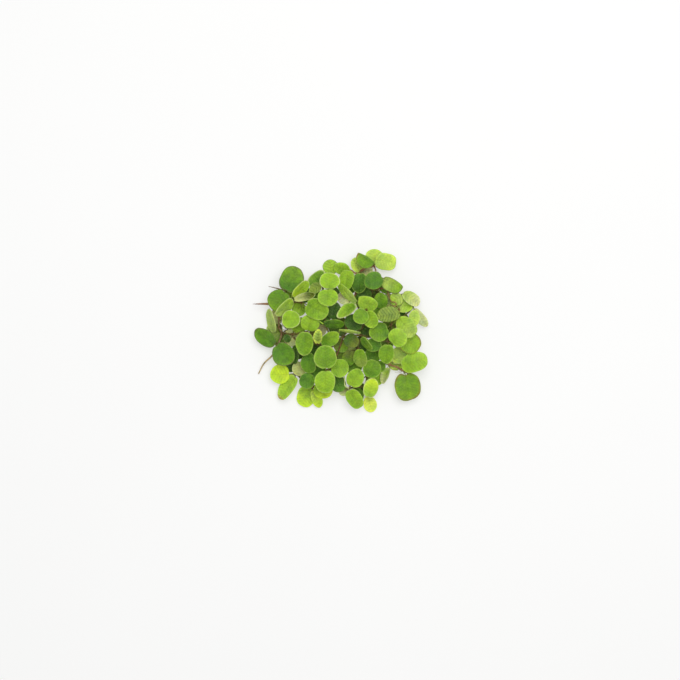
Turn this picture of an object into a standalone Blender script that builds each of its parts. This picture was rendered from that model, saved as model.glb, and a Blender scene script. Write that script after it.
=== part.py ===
"""Water spangles: a clump of a small floating fern, lifted out of the water and lying on a flat surface.

One much-branched plant: thin stems that fork, with round leaves in pairs along them and short brown roots
under the pairs. Every stem is a node, and so is every leaf that shows its face. The small inner leaves and
the roots are joined to the stem that they grow from. Lengths are in millimetres until a mesh is made.
"""

import math

import bmesh
import bpy
from mathutils import Matrix, Vector

NAME = "water_spangles"
MM = 0.001

# Driving dimensions
BLADE_THICKNESS = 0.6
NECK_WIDTH = 0.9
STEM_RADIUS = 0.55
TOUCH_GAP = 0.4
CLUMP_MIDDLE = Vector((0.74, -0.41, 0.0))

# Leaf outline
BLADE_ROWS = 5
SMALL_BLADE_ROWS = 4
ACROSS = 2
TIP_BLUNTNESS = 0.22
FUSE_DEPTH = 0.25

# Stems and roots
PATH_STEP = 4.2
TUBE_SIDES_LEVEL = 1
STEM_TIP = 0.9
ROOT_RADIUS = 0.42
ROOT_TIP = 0.35
WELD_DISTANCE = 0.01

# Finishes
ROUGHNESS = 0.6
COLOURS = {
    "leaf_dark": (0.085, 0.250, 0.022, 1.0),
    "leaf_mid": (0.190, 0.370, 0.032, 1.0),
    "leaf_bright": (0.290, 0.500, 0.045, 1.0),
    "leaf_lime": (0.510, 0.690, 0.055, 1.0),
    "leaf_pale": (0.380, 0.530, 0.150, 1.0),
    "stem": (0.160, 0.090, 0.030, 1.0),
}

# Leaves: blade centre, (heading, pitch, roll) in degrees, (length, width), fold in degrees, droop of the ends
# and colour. A heading of 0 points along +X. A pitch above 0 lifts the tip, and a roll above 0 the left side.
LEAVES = {
    "west_leaf_1": ((-23.9, 25.2, 9.5), (64, 3, 0), (12.8, 12.3), 6, 0.5, "leaf_dark"),
    "west_leaf_2": ((-30.2, 14.8, 8.5), (235, 2, 0), (11.0, 11.0), 6, 0.5, "leaf_dark"),
    "west_leaf_3": ((-27.4, 10.8, 11.8), (45, 4, 55), (12.0, 8.8), 8, 0.4, "leaf_pale"),
    "west_leaf_4": ((-24.3, 5.2, 11.0), (2, 5, 0), (9.4, 9.0), 6, 0.5, "leaf_bright"),
    "west_leaf_5": ((-37.1, -3.9, 6.6), (144, 0, -30), (12.4, 9.6), 12, 0.3, "leaf_dark"),
    "west_leaf_6": ((-27.9, -12.0, 9.2), (-49, 3, 8), (12.2, 11.0), 6, 0.5, "leaf_dark"),
    "southwest_leaf_1": ((-29.8, -22.0, 4.5), (180, 4, 0), (9.8, 9.8), 4, 0.4, "leaf_lime"),
    "southwest_leaf_2": ((-25.5, -28.8, 4.2), (240, -4, 35), (13.0, 8.8), 10, 0.4, "leaf_bright"),
    "southwest_leaf_3": ((-16.8, -33.2, 0.6), (248, 0, 0), (10.5, 9.5), 0, 0.0, "leaf_lime"),
    "south_leaf_1": ((-7.2, -13.5, 17.5), (92, 4, 0), (11.8, 11.3), 6, 0.6, "leaf_bright"),
    "south_leaf_2": ((-7.2, -25.6, 15.5), (270, -8, 0), (10.4, 11.2), 6, 0.6, "leaf_bright"),
    "south_leaf_3": ((-0.2, -18.8, 13.0), (5, 4, 0), (9.2, 9.2), 4, 0.5, "leaf_bright"),
    "south_leaf_4": ((-15.5, -16.5, 10.5), (272, -6, 25), (10.5, 8.6), 8, 0.5, "leaf_dark"),
    "south_outer_leaf_1": ((7.5, -23.8, 12.0), (60, 10, 0), (9.8, 8.6), 4, 0.5, "leaf_bright"),
    "south_outer_leaf_2": ((7.0, -34.3, 7.5), (-60, -15, 20), (11.2, 8.6), 8, 0.5, "leaf_mid"),
    "south_outer_leaf_3": ((15.3, -28.9, 8.2), (75, 4, 20), (10.3, 8.0), 6, 0.5, "leaf_lime"),
    "south_outer_leaf_4": ((15.0, -37.0, 0.6), (-75, 0, 0), (8.4, 6.6), 0, 0.0, "leaf_lime"),
    "south_outer_leaf_5": ((15.8, -19.3, 9.6), (70, 5, 0), (9.4, 9.0), 5, 0.5, "leaf_mid"),
    "southeast_leaf_1": ((33.5, -28.5, 6.0), (-80, -3, 0), (13.2, 13.0), 4, 0.6, "leaf_mid"),
    "southeast_leaf_2": ((36.8, -16.0, 8.5), (24, 4, -25), (13.6, 10.4), 6, 0.5, "leaf_bright"),
    "southeast_leaf_3": ((28.0, -15.4, 2.4), (110, 4, 0), (10.0, 9.6), 5, 0.4, "leaf_pale"),
    "east_leaf_1": ((24.0, 7.0, 15.5), (205, 4, 30), (12.0, 8.6), 6, 0.5, "leaf_mid"),
    "east_leaf_2": ((32.9, 1.5, 14.0), (-22, -4, 15), (11.6, 9.8), 5, 0.5, "leaf_pale"),
    "east_leaf_3": ((19.2, -1.0, 13.2), (208, 3, 0), (9.8, 9.6), 5, 0.5, "leaf_mid"),
    "east_leaf_4": ((28.5, -4.0, 16.6), (27, 5, 0), (9.4, 9.2), 5, 0.5, "leaf_bright"),
    "east_leaf_5": ((22.8, -11.8, 14.6), (262, -5, 20), (9.8, 8.2), 5, 0.5, "leaf_bright"),
    "east_leaf_6": ((34.2, -6.2, 9.2), (-35, -4, 0), (12.4, 10.8), 4, 0.5, "leaf_mid"),
    "northeast_leaf_1": ((35.1, 15.8, 8.2), (-34, -4, -42), (10.2, 7.8), 6, 0.4, "leaf_pale"),
    "northeast_leaf_2": ((32.0, 11.2, 8.0), (182, 4, 14), (9.2, 7.0), 6, 0.4, "leaf_pale"),
    "northeast_leaf_3": ((40.3, 6.2, 5.0), (-52, -6, 54), (11.4, 7.6), 8, 0.3, "leaf_pale"),
    "north_leaf_1": ((22.6, 33.7, 6.2), (12, -3, 18), (11.0, 8.4), 6, 0.5, "leaf_lime"),
    "north_leaf_2": ((12.0, 33.4, 7.8), (160, 0, 26), (9.4, 8.4), 22, 0.3, "leaf_mid"),
    "north_leaf_3": ((3.0, 25.4, 9.5), (262, 5, 20), (9.2, 8.0), 6, 0.4, "leaf_bright"),
    "north_leaf_4": ((9.6, 23.2, 10.5), (266, 6, 25), (10.4, 8.6), 8, 0.4, "leaf_dark"),
    "north_inner_leaf_1": ((16.6, 24.2, 14.2), (178, 3, 10), (9.6, 8.8), 5, 0.5, "leaf_dark"),
    "north_inner_leaf_2": ((26.0, 22.2, 12.2), (-38, -6, 40), (12.0, 8.6), 6, 0.5, "leaf_mid"),
    "crown_left_leaf_1": ((-6.0, 15.5, 18.0), (270, 12, 0), (7.9, 10.4), 5, 0.5, "leaf_bright"),
    "crown_left_leaf_2": ((-5.1, 23.8, 16.5), (87, -14, 0), (8.4, 10.2), 5, 0.5, "leaf_bright"),
    "crown_right_leaf_1": ((10.2, 6.6, 18.6), (236, 6, 0), (7.8, 7.6), 4, 0.4, "leaf_bright"),
    "crown_right_leaf_2": ((15.5, 5.5, 17.3), (-68, 2, 15), (9.2, 8.0), 4, 0.4, "leaf_bright"),
    "crown_right_leaf_3": ((13.8, 12.8, 15.3), (-18, 2, 30), (10.4, 8.6), 6, 0.4, "leaf_bright"),
    "crown_right_leaf_4": ((3.4, 18.8, 13.4), (145, -6, -52), (12.2, 8.6), 6, 0.4, "leaf_pale"),
    "crown_right_leaf_5": ((4.2, 10.0, 12.6), (205, -3, 42), (11.6, 8.2), 6, 0.4, "leaf_bright"),
    "northwest_leaf_1": ((-11.5, 10.1, 15.3), (-25, 4, 12), (12.0, 10.4), 6, 0.6, "leaf_bright"),
    "main_leaf_1": ((-17.3, -6.6, 14.2), (268, 0, 15), (12.0, 9.2), 8, 0.5, "leaf_mid"),
    "main_leaf_2": ((-14.8, 3.2, 12.8), (78, 9, 0), (8.4, 9.4), 6, 0.4, "leaf_mid"),
    "main_leaf_3": ((-5.0, -4.4, 12.8), (25, -4, 30), (10.4, 8.0), 6, 0.4, "leaf_bright"),
}

# Small and inner leaves, in the same form. They are joined to their stem.
SMALL_LEAVES = {
    "west_small_1": ((-34.4, 5.4, 5.2), (103, 0, -58), (11.0, 8.4), 8, 0.3, "leaf_pale"),
    "west_small_2": ((-32.6, 0.4, 0.6), (186, 0, 0), (8.4, 7.6), 0, 0.0, "leaf_pale"),
    "west_small_3": ((-26.2, -4.2, 7.6), (-60, 0, 0), (4.4, 3.6), 6, 0.2, "leaf_dark"),
    "west_small_4": ((-23.4, -2.9, 3.6), (-18, 0, 0), (8.6, 8.6), 4, 0.3, "leaf_pale"),
    "southwest_small_1": ((-22.0, -12.2, 7.2), (266, -6, 55), (9.6, 7.6), 8, 0.3, "leaf_dark"),
    "southwest_small_2": ((-19.8, -19.8, 5.4), (-100, -4, 0), (7.4, 7.0), 5, 0.3, "leaf_pale"),
    "southwest_small_3": ((-16.4, -25.2, 7.0), (-20, 4, 0), (8.0, 8.0), 5, 0.4, "leaf_dark"),
    "southwest_small_4": ((-11.7, -34.2, 2.4), (-68, -2, 0), (9.8, 5.4), 6, 0.2, "leaf_lime"),
    "southwest_small_5": ((-8.4, -29.8, 6.5), (-80, -6, 0), (9.2, 9.6), 5, 0.4, "leaf_lime"),
    "southwest_small_6": ((-24.6, -17.2, 2.2), (112, 0, 0), (8.0, 7.4), 5, 0.3, "leaf_dark"),
    "south_small_1": ((-0.8, -26.0, 8.6), (-70, -6, 0), (8.4, 8.2), 5, 0.4, "leaf_dark"),
    "south_small_2": ((-11.0, -20.4, 6.4), (188, 0, 0), (8.6, 8.0), 5, 0.3, "leaf_mid"),
    "south_outer_small_1": ((18.0, -23.4, 2.6), (-30, -4, 0), (8.0, 7.2), 5, 0.3, "leaf_bright"),
    "south_outer_small_4": ((16.4, -12.6, 4.0), (28, 0, 0), (8.6, 8.0), 5, 0.3, "leaf_mid"),
    "southeast_small_1": ((23.8, -22.8, 6.2), (245, -6, 66), (8.6, 7.4), 6, 0.2, "leaf_pale"),
    "east_small_1": ((16.6, -7.4, 10.0), (190, -4, 10), (8.4, 7.0), 6, 0.3, "leaf_dark"),
    "northeast_small_1": ((36.2, 6.2, 0.6), (-96, 0, 0), (9.0, 6.8), 0, 0.0, "leaf_lime"),
    "northeast_small_2": ((28.6, 15.0, 8.4), (212, 3, 0), (7.0, 7.0), 5, 0.3, "leaf_pale"),
    "north_small_1": ((8.2, 32.8, 5.0), (112, -6, 20), (8.0, 6.8), 6, 0.3, "leaf_bright"),
    "north_small_2": ((1.4, 31.0, 4.2), (160, -4, -25), (8.6, 6.8), 6, 0.3, "leaf_lime"),
    "north_small_3": ((17.2, 36.2, 0.6), (92, 0, 0), (8.4, 9.5), 0, 0.0, "leaf_lime"),
    "north_small_4": ((12.0, 17.8, 8.6), (-20, 0, 0), (7.6, 6.8), 6, 0.3, "leaf_dark"),
    "north_inner_small_1": ((20.2, 14.4, 9.6), (-80, -6, 15), (8.4, 7.0), 6, 0.3, "leaf_mid"),
    "north_inner_small_2": ((16.2, 16.6, 4.4), (-60, 0, 0), (7.6, 7.0), 5, 0.3, "leaf_dark"),
    "crown_left_small_1": ((-4.8, 31.4, 0.6), (95, 0, 0), (7.8, 7.6), 0, 0.0, "leaf_lime"),
    "crown_left_small_2": ((-11.2, 25.2, 9.0), (145, -8, -30), (8.4, 7.2), 6, 0.3, "leaf_dark"),
    "crown_left_small_3": ((-12.2, 20.4, 10.5), (215, -5, 30), (7.2, 6.0), 6, 0.3, "leaf_pale"),
    "crown_left_small_4": ((-3.3, 9.0, 9.0), (80, 0, 0), (8.4, 7.0), 6, 0.3, "leaf_dark"),
    "crown_left_small_5": ((-3.1, 2.8, 12.8), (-2, 0, 54), (10.6, 7.6), 8, 0.3, "leaf_dark"),
    "crown_left_small_6": ((-10.4, 0.4, 5.8), (205, 0, 0), (7.6, 7.0), 5, 0.3, "leaf_pale"),
    "crown_right_small_1": ((7.0, 3.8, 11.0), (160, 0, 0), (10.2, 8.0), 6, 0.3, "leaf_dark"),
    "crown_right_small_2": ((1.6, 14.4, 8.6), (150, -4, 0), (7.0, 6.0), 6, 0.3, "leaf_pale"),
    "crown_right_small_3": ((14.2, -0.4, 6.2), (-20, 0, 0), (7.8, 7.0), 5, 0.3, "leaf_dark"),
    "northwest_small_1": ((-19.6, 20.4, 9.0), (38, 0, -50), (10.4, 8.0), 8, 0.3, "leaf_lime"),
    "northwest_small_2": ((-18.4, 16.4, 12.6), (25, 4, 0), (8.6, 8.0), 50, 0.2, "leaf_pale"),
    "northwest_small_3": ((-21.2, 9.6, 6.6), (-30, 0, 0), (7.4, 7.0), 6, 0.3, "leaf_dark"),
    "main_small_1": ((-10.8, -3.3, 17.2), (85, 8, 0), (7.4, 6.0), 42, 0.2, "leaf_lime"),
    "main_small_2": ((4.6, -1.1, 12.6), (-8, 12, 74), (11.4, 5.0), 4, 0.2, "leaf_pale"),
    "main_small_3": ((6.0, -5.2, 10.6), (-30, 0, 0), (8.4, 7.2), 6, 0.3, "leaf_dark"),
    "main_small_4": ((12.8, -7.0, 12.6), (-50, 0, 60), (8.2, 7.0), 6, 0.2, "leaf_mid"),
    "south_outer_small_2": ((10.0, -14.0, 11.0), (-80, -6, 25), (9.4, 7.4), 6, 0.3, "leaf_dark"),
    "south_outer_small_3": ((4.4, -14.0, 7.4), (-100, -4, 0), (8.0, 7.0), 6, 0.3, "leaf_mid"),
}

# Stems: each is one or more paths. A path holds its points in order, each with the leaves that grow there.
STEMS = {
    "west_stem": [
        [
            ((-26.9, 19.5, 6.2), "west_leaf_1", "west_leaf_2"),
            ((-29.8, 12.5, 6.6),),
            ((-30.2, 6.2, 7.6), "west_leaf_3", "west_leaf_4"),
            ((-30.4, 1.6, 4.6), "west_small_1", "west_small_2"),
            ((-29.0, -1.8, 5.0), "west_small_3", "west_small_4"),
            ((-30.8, -7.6, 5.8), "west_leaf_5", "west_leaf_6"),
        ],
    ],
    "southwest_stem": [
        [
            ((-22.9, -3.6, 6.6),),
            ((-18.9, -9.2, 7.8), "southwest_small_1", "south_leaf_4"),
            ((-18.6, -15.0, 3.8), "southwest_small_2"),
            ((-20.4, -22.6, 3.4), "southwest_small_3"),
            ((-14.2, -28.6, 2.6), "southwest_leaf_3", "southwest_small_4"),
            ((-9.6, -24.6, 4.8), "southwest_small_5"),
        ],
        [
            ((-20.4, -22.6, 3.4),),
            ((-22.7, -22.0, 2.5), "southwest_leaf_1", "southwest_leaf_2", "southwest_small_6"),
        ],
    ],
    "south_stem": [
        [
            ((-4.2, -7.9, 8.6),),
            ((-4.6, -12.5, 8.4),),
            ((-4.2, -19.2, 8.2), "south_small_1", "south_small_2"),
            ((-5.6, -19.6, 11.0), "south_leaf_3"),
            ((-7.2, -19.9, 14.7), "south_leaf_1", "south_leaf_2"),
        ],
    ],
    "south_outer_stem": [
        [
            ((10.2, -4.3, 8.0),),
            ((9.0, -9.6, 6.4), "south_outer_small_2", "south_outer_small_3"),
            ((12.0, -16.0, 5.2), "south_outer_small_4"),
            ((13.4, -22.8, 5.2), "south_outer_leaf_5", "south_outer_small_1"),
            ((12.6, -28.0, 4.2),),
            ((13.4, -33.2, 4.2), "south_outer_leaf_3", "south_outer_leaf_4"),
        ],
        [
            ((12.6, -28.0, 4.2),),
            ((8.0, -28.4, 6.0),),
            ((4.6, -28.8, 7.6), "south_outer_leaf_1", "south_outer_leaf_2"),
        ],
    ],
    "southeast_stem": [
        [
            ((16.6, -4.9, 7.2),),
            ((19.5, -10.5, 6.0),),
            ((24.4, -16.8, 6.6), "southeast_small_1"),
            ((28.2, -18.4, 6.6),),
            ((31.6, -20.4, 5.4), "southeast_leaf_1", "southeast_leaf_2", "southeast_leaf_3"),
        ],
    ],
    "east_stem": [
        [
            ((29.2, 10.2, 12.8), "east_leaf_1"),
            ((25.2, 2.6, 10.2), "east_leaf_2", "east_leaf_3"),
            ((26.8, -1.9, 8.2), "east_leaf_6"),
            ((25.0, -5.0, 9.8), "east_small_1"),
            ((23.7, -6.3, 12.9), "east_leaf_4", "east_leaf_5"),
        ],
    ],
    "northeast_stem": [
        [
            ((27.7, 1.5, 8.8),),
            ((31.0, 6.0, 6.0),),
            ((36.2, 12.0, 4.0), "northeast_leaf_2", "northeast_leaf_3", "northeast_small_1"),
            ((31.0, 17.8, 6.3), "northeast_leaf_1", "northeast_small_2"),
        ],
    ],
    "north_stem": [
        [
            ((3.0, -1.6, 8.2),),
            ((3.4, 6.0, 7.2),),
            ((5.4, 13.0, 6.6), "crown_right_small_2"),
            ((8.0, 18.6, 6.2), "north_small_4"),
            ((9.8, 23.2, 5.4),),
            ((10.4, 29.2, 6.4), "north_leaf_4", "north_small_1"),
            ((17.0, 32.0, 4.2), "north_leaf_1", "north_leaf_2", "north_small_3"),
        ],
        [
            ((10.1, 26.6, 5.8),),
            ((5.2, 29.6, 6.0), "north_leaf_3", "north_small_2"),
        ],
    ],
    "north_inner_stem": [
        [
            ((11.4, 22.6, 5.6),),
            ((15.5, 20.2, 6.4), "north_inner_small_2"),
            ((18.8, 20.4, 7.8), "north_inner_small_1"),
            ((20.3, 25.6, 10.6), "north_inner_leaf_1", "north_inner_leaf_2"),
        ],
    ],
    "crown_left_stem": [
        [
            ((-4.4, -4.8, 8.6),),
            ((-7.0, 3.0, 8.8), "crown_left_small_4", "crown_left_small_5", "crown_left_small_6"),
            ((-7.6, 11.0, 9.6),),
            ((-7.2, 16.4, 12.0),),
            ((-5.6, 19.6, 15.3), "crown_left_leaf_1", "crown_left_leaf_2"),
        ],
        [
            ((-7.4, 14.0, 10.6),),
            ((-8.4, 21.8, 7.6), "crown_left_small_2", "crown_left_small_3"),
            ((-5.2, 26.4, 2.8), "crown_left_small_1"),
        ],
    ],
    "crown_right_stem": [
        [
            ((7.6, -1.4, 8.6),),
            ((10.8, 1.2, 9.0), "crown_right_small_1", "crown_right_small_3"),
            ((14.0, 6.0, 12.6),),
            ((12.9, 10.2, 15.0), "crown_right_leaf_1", "crown_right_leaf_2"),
        ],
        [
            ((10.8, 1.2, 9.0),),
            ((9.6, 8.0, 8.4),),
            ((8.9, 14.4, 10.9), "crown_right_leaf_3", "crown_right_leaf_4", "crown_right_leaf_5"),
        ],
    ],
    "northwest_stem": [
        [
            ((-28.3, 12.9, 6.8),),
            ((-24.6, 14.2, 6.6), "northwest_small_1", "northwest_small_3"),
            ((-23.3, 13.8, 8.4), "northwest_small_2"),
            ((-18.8, 13.4, 11.4), "northwest_leaf_1"),
        ],
    ],
    "main_stem": [
        [
            ((-27.5, -1.6, 5.4),),
            ((-23.5, -2.2, 6.8),),
            ((-16.4, -1.2, 10.3), "main_leaf_1", "main_leaf_2"),
            ((-13.8, -5.0, 10.6), "main_small_1"),
            ((-11.2, -7.0, 10.6), "main_leaf_3"),
            ((-4.0, -6.3, 8.6),),
            ((-1.2, -4.8, 8.5), "main_small_2"),
            ((1.8, -3.4, 8.3), "main_small_3"),
            ((7.4, -2.9, 8.2),),
            ((10.4, -2.8, 8.4), "main_small_4"),
            ((16.0, -3.4, 7.6),),
            ((25.3, -2.0, 8.2),),
        ],
    ],
}

# Roots: each starts at a point of its stem's first path, given by its place in the list, and runs to its tip.
ROOTS = {
    "west_stem": [
        (1, (-36.0, 12.9, 5.6), (-43.2, 12.9, 4.6)),
        (0, (-31.2, 20.6, 5.2), (-35.4, 21.6, 4.4)),
        (5, (-33.6, -12.8, 4.2), (-37.4, -16.4, 2.6), (-40.8, -21.6, 0.6)),
    ],
    "north_stem": [(6, (15.6, 27.6, 2.6), (13.4, 24.4, 1.0))],
    "north_inner_stem": [(2, (24.0, 19.2, 6.0), (26.0, 15.6, 3.0))],
    "southeast_stem": [(4, (33.8, -21.8, 2.6), (36.4, -23.8, 0.8))],
    "south_stem": [(2, (-3.6, -16.6, 4.4), (-1.6, -16.4, 0.8))],
    "east_stem": [(2, (27.6, -4.6, 4.6), (26.4, -8.0, 1.0))],
    "main_stem": [(4, (-2.8, -8.4, 4.6), (0.6, -9.8, 1.0))],
}


def cosine_step(index, count):
    """Position from 0 to 1 along a blade, with short steps near both ends, where the outline curves most."""
    return (1.0 - math.cos(math.pi * index / count)) / 2.0


def blade_frame(centre, turn):
    """Matrix that carries a flat blade, tip along +X and face up, to its place."""
    heading, pitch, roll = (math.radians(angle) for angle in turn)
    turned = Matrix.Rotation(heading, 4, "Z") @ Matrix.Rotation(-pitch, 4, "Y")
    return Matrix.Translation(centre) @ turned @ Matrix.Rotation(roll, 4, "X")


def blade_point(step, side, size, fold, droop):
    """Point of the upper face: an ellipse, folded up along its midrib, with both ends drooping."""
    length, width = size
    along = 2.0 * step - 1.0
    half = width / 2.0 * math.sqrt(max(1.0 - along * along, 0.0))
    half = max(half, NECK_WIDTH / 2.0 if step < 0.5 else width / 2.0 * TIP_BLUNTNESS)
    rise = abs(side) * half * math.sin(math.radians(fold)) - droop * along * along
    return Vector((along * length / 2.0, side * half * math.cos(math.radians(fold)), rise))


def leaf_object(name, spec, node, rows, start):
    """Leaf as a grid: the first row is the end of its neck, at the stem, and the others are the blade."""
    centre, turn, size, fold, droop, colour = spec
    frame = blade_frame(Vector(centre), turn)
    base = frame @ blade_point(0.0, 0.0, size, fold, droop)
    across = (frame.to_3x3() @ Vector((0.0, 1.0, 0.0))).normalized()
    node = Vector(node)
    neck = (base - node).normalized()
    neck_end = node + neck * start
    neck_across = (across - neck * across.dot(neck)).normalized()
    shape = bmesh.new()
    bmesh.ops.create_grid(shape, x_segments=rows + 1, y_segments=ACROSS, size=1.0)
    for vertex in shape.verts:
        row = round((vertex.co.x + 1.0) / 2.0 * (rows + 1))
        side = vertex.co.y
        if row == 0:
            vertex.co = neck_end + neck_across * side * NECK_WIDTH / 2.0
        else:
            vertex.co = frame @ blade_point(cosine_step(row - 1, rows), side, size, fold, droop)
    bmesh.ops.scale(shape, vec=(MM, MM, MM), verts=shape.verts)
    mesh = bpy.data.meshes.new(name)
    shape.to_mesh(mesh)
    shape.free()
    mesh.shade_smooth()
    mesh.materials.append(finish(colour))
    leaf = bpy.data.objects.new(name, mesh)
    skin = leaf.modifiers.new("thickness", "SOLIDIFY")
    skin.thickness = BLADE_THICKNESS * MM
    skin.offset = -1.0
    return leaf


def smooth_path(points):
    """Points along a Catmull-Rom curve through the given points."""
    ends = [points[0] * 2 - points[1], *points, points[-1] * 2 - points[-2]]
    path = []
    for before, first, second, after in zip(ends, ends[1:], ends[2:], ends[3:]):
        steps = max(1, round((second - first).length / (PATH_STEP * MM)))
        for step in range(steps):
            t = step / steps
            path.append(0.5 * ((2 * first) + (second - before) * t
                               + (2 * before - 5 * first + 4 * second - after) * t ** 2
                               + (3 * first - before - 3 * second + after) * t ** 3))
    path.append(points[-1])
    return path


def tube_object(name, points, radius, tip_share):
    """Closed tube along a smooth path, whose radius falls evenly to tip_share of itself."""
    path = smooth_path([Vector(point) * MM for point in points])
    curve = bpy.data.curves.new(name, "CURVE")
    curve.dimensions = "3D"
    curve.bevel_depth = radius * MM
    curve.bevel_resolution = TUBE_SIDES_LEVEL
    curve.use_fill_caps = True
    spline = curve.splines.new("POLY")
    spline.points.add(len(path) - 1)
    for index, (spot, point) in enumerate(zip(spline.points, path)):
        spot.co = (*point, 1.0)
        spot.radius = 1.0 + (tip_share - 1.0) * index / (len(path) - 1)
    tube = bpy.data.objects.new(name, curve)
    bpy.context.scene.collection.objects.link(tube)
    evaluated = tube.evaluated_get(bpy.context.evaluated_depsgraph_get())
    mesh = bpy.data.meshes.new_from_object(evaluated)
    bpy.data.objects.remove(tube)
    shape = bmesh.new()
    shape.from_mesh(mesh)
    bmesh.ops.remove_doubles(shape, verts=shape.verts, dist=WELD_DISTANCE * MM)
    shape.to_mesh(mesh)
    shape.free()
    mesh.shade_smooth()
    mesh.materials.append(finish("stem"))
    return bpy.data.objects.new(name, mesh)


def finish(name):
    """Plain material in one of the named colours, made once."""
    material = bpy.data.materials.get(name)
    if material is None:
        material = bpy.data.materials.new(name)
        material.use_nodes = True
        shader = material.node_tree.nodes["Principled BSDF"]
        shader.inputs["Base Color"].default_value = COLOURS[name]
        shader.inputs["Roughness"].default_value = ROUGHNESS
        shader.inputs["Metallic"].default_value = 0.0
    return material


def new_collection(name):
    collection = bpy.data.collections.new(name)
    bpy.context.scene.collection.children.link(collection)
    return collection


def join_to(stem, pieces, collection):
    """Boolean unions of a stem with what grows from it. The pieces stay as hidden operands."""
    for piece in pieces:
        collection.objects.link(piece)
        piece.hide_render = True
        piece.display_type = "WIRE"
        union = stem.modifiers.new(piece.name, "BOOLEAN")
        union.operation = "UNION"
        union.solver = "EXACT"
        union.material_mode = "TRANSFER"
        union.object = piece


def build_stem(name, paths, parts, operands):
    """A stem with its side path, its roots and its small leaves, and the separate leaves beside it."""
    first, *others = [tube_object(f"{name}_path", [entry[0] for entry in path], STEM_RADIUS, STEM_TIP)
                      for path in paths]
    first.name = name
    grown = list(others)
    for place, *points in ROOTS.get(name, []):
        start = paths[0][place][0]
        grown.append(tube_object(f"{name}_root", [start, *points], ROOT_RADIUS, ROOT_TIP))
    for path in paths:
        for node, *leaves in path:
            for leaf in leaves:
                if leaf in SMALL_LEAVES:
                    grown.append(leaf_object(leaf, SMALL_LEAVES[leaf], node, SMALL_BLADE_ROWS, -FUSE_DEPTH))
                else:
                    start = STEM_RADIUS + TOUCH_GAP
                    piece = leaf_object(leaf, LEAVES[leaf], node, BLADE_ROWS, start)
                    parts.objects.link(piece)
    parts.objects.link(first)
    join_to(first, grown, operands)


def main():
    for old in list(bpy.data.objects):
        bpy.data.objects.remove(old)
    parts = new_collection(NAME)
    operands = new_collection("joined_pieces")
    for name, paths in STEMS.items():
        build_stem(name, paths, parts, operands)
    for piece in parts.objects:
        piece.location = -CLUMP_MIDDLE * MM
    for piece in operands.objects:
        piece.location = -CLUMP_MIDDLE * MM


main()
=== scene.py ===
"""Water spangles: the looks of a clump of a small floating fern, lying on a pale surface.

Every blade, stalk, stem, root and hair is a closed surface worked out from a formula on a grid. Lengths are
in millimetres until a mesh is made.
"""

import math

import bpy
import numpy as np
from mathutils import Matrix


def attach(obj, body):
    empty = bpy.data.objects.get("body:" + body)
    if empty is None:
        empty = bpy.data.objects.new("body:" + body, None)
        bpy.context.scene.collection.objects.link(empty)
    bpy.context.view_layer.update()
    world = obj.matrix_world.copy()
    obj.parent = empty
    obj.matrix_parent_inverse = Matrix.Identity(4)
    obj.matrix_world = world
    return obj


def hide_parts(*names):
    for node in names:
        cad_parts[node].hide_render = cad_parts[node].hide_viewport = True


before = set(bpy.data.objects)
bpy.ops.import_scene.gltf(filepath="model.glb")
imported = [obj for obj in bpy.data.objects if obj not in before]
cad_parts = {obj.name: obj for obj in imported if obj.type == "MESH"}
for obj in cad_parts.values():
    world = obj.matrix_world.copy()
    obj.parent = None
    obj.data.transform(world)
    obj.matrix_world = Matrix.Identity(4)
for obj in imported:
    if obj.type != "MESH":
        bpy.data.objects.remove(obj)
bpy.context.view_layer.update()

MM = 0.001
CLUMP_MIDDLE = np.array([0.74, -0.41, 0.0])

# The blade: its thickness, where the edge starts to be rounded off and over what share of the radius, the
# groove above the midrib and the rib below it, how wide its notch at the stalk is, and how uneven it is
BLADE_THICKNESS = 0.50
EDGE_THICKNESS = 0.30
EDGE_START = 0.93
EDGE_SPAN = 0.07
GROOVE_DEPTH = 0.06
GROOVE_WIDTH = 0.28
RIB_HEIGHT = 0.16
RIB_WIDTH = 0.32
NOTCH_WIDTH = 0.22
OUTLINE_WOBBLE = 0.020
FACE_WAVE = 0.16
CUP = 0.35

# The blade's colours: how bright they are, how dark the middle is and how much paler the edge is painted,
# a glow as of light through it, the shares of the underside's colour and of the brown at a scorched tip,
# and how strong the blotches are, also in red, green and blue
BRIGHTNESS = 1.05
DARK_MIDDLE = 0.07
PAINTED_EDGE_GLOW = 0.14
WASHED_OUT = 0.55
SCORCH = 0.7
BLOTCH = 0.065
BLOTCH_TINT = np.array([1.5, 0.9, -0.4])

# The blade's grid: shares of the radius for its rings, points to a ring, the span of its UV map, and the
# side veins' pitch and slant
TOP_ROWS = np.array([0.10, 0.21, 0.32, 0.43, 0.54, 0.64, 0.73, 0.81, 0.875, 0.92, 0.955, 0.98, 0.995])
UNDER_ROWS = np.array([0.98, 0.93, 0.80, 0.62, 0.42, 0.20])
LEAF_COLUMNS = 88
SMALL_COLUMNS = 60
UV_SPAN = 20.0
VEIN_PITCH = 1.45
VEIN_SLANT = 0.47

# Where a stalk enters its blade and where it ends in it: the share of the length from the blade's middle,
# and the depth under the upper face
ENTRY_PLACE = -0.44
ENTRY_DEPTH = 0.36
SEAT_PLACE = -0.36
SEAT_DEPTH = 0.28

# Stalks, stems, runners and roots: radii, how blunt the ends are, the steps along their paths, the sides of
# their tubes, and the threads under each node
STALK_RADIUS = 0.34
STALK_TAPER = 0.14
END_CAP = 0.6
STEM_END = 0.6
ROOT_TAPER_POWER = 1.6
KNOT_RADIUS = 0.22
KNOT_SPREAD = 0.8
THREAD_RADIUS = 0.11
THREAD_TAPER = 0.07
PATH_STEP = 0.5
STALK_STEP = 0.45
RUNNER_STEP = 0.4
STEM_SIDES = 10
ROOT_SIDES = 8
THREAD_SIDES = 4
THREADS_PER_NODE = 9
THREAD_POINTS = 9

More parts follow.
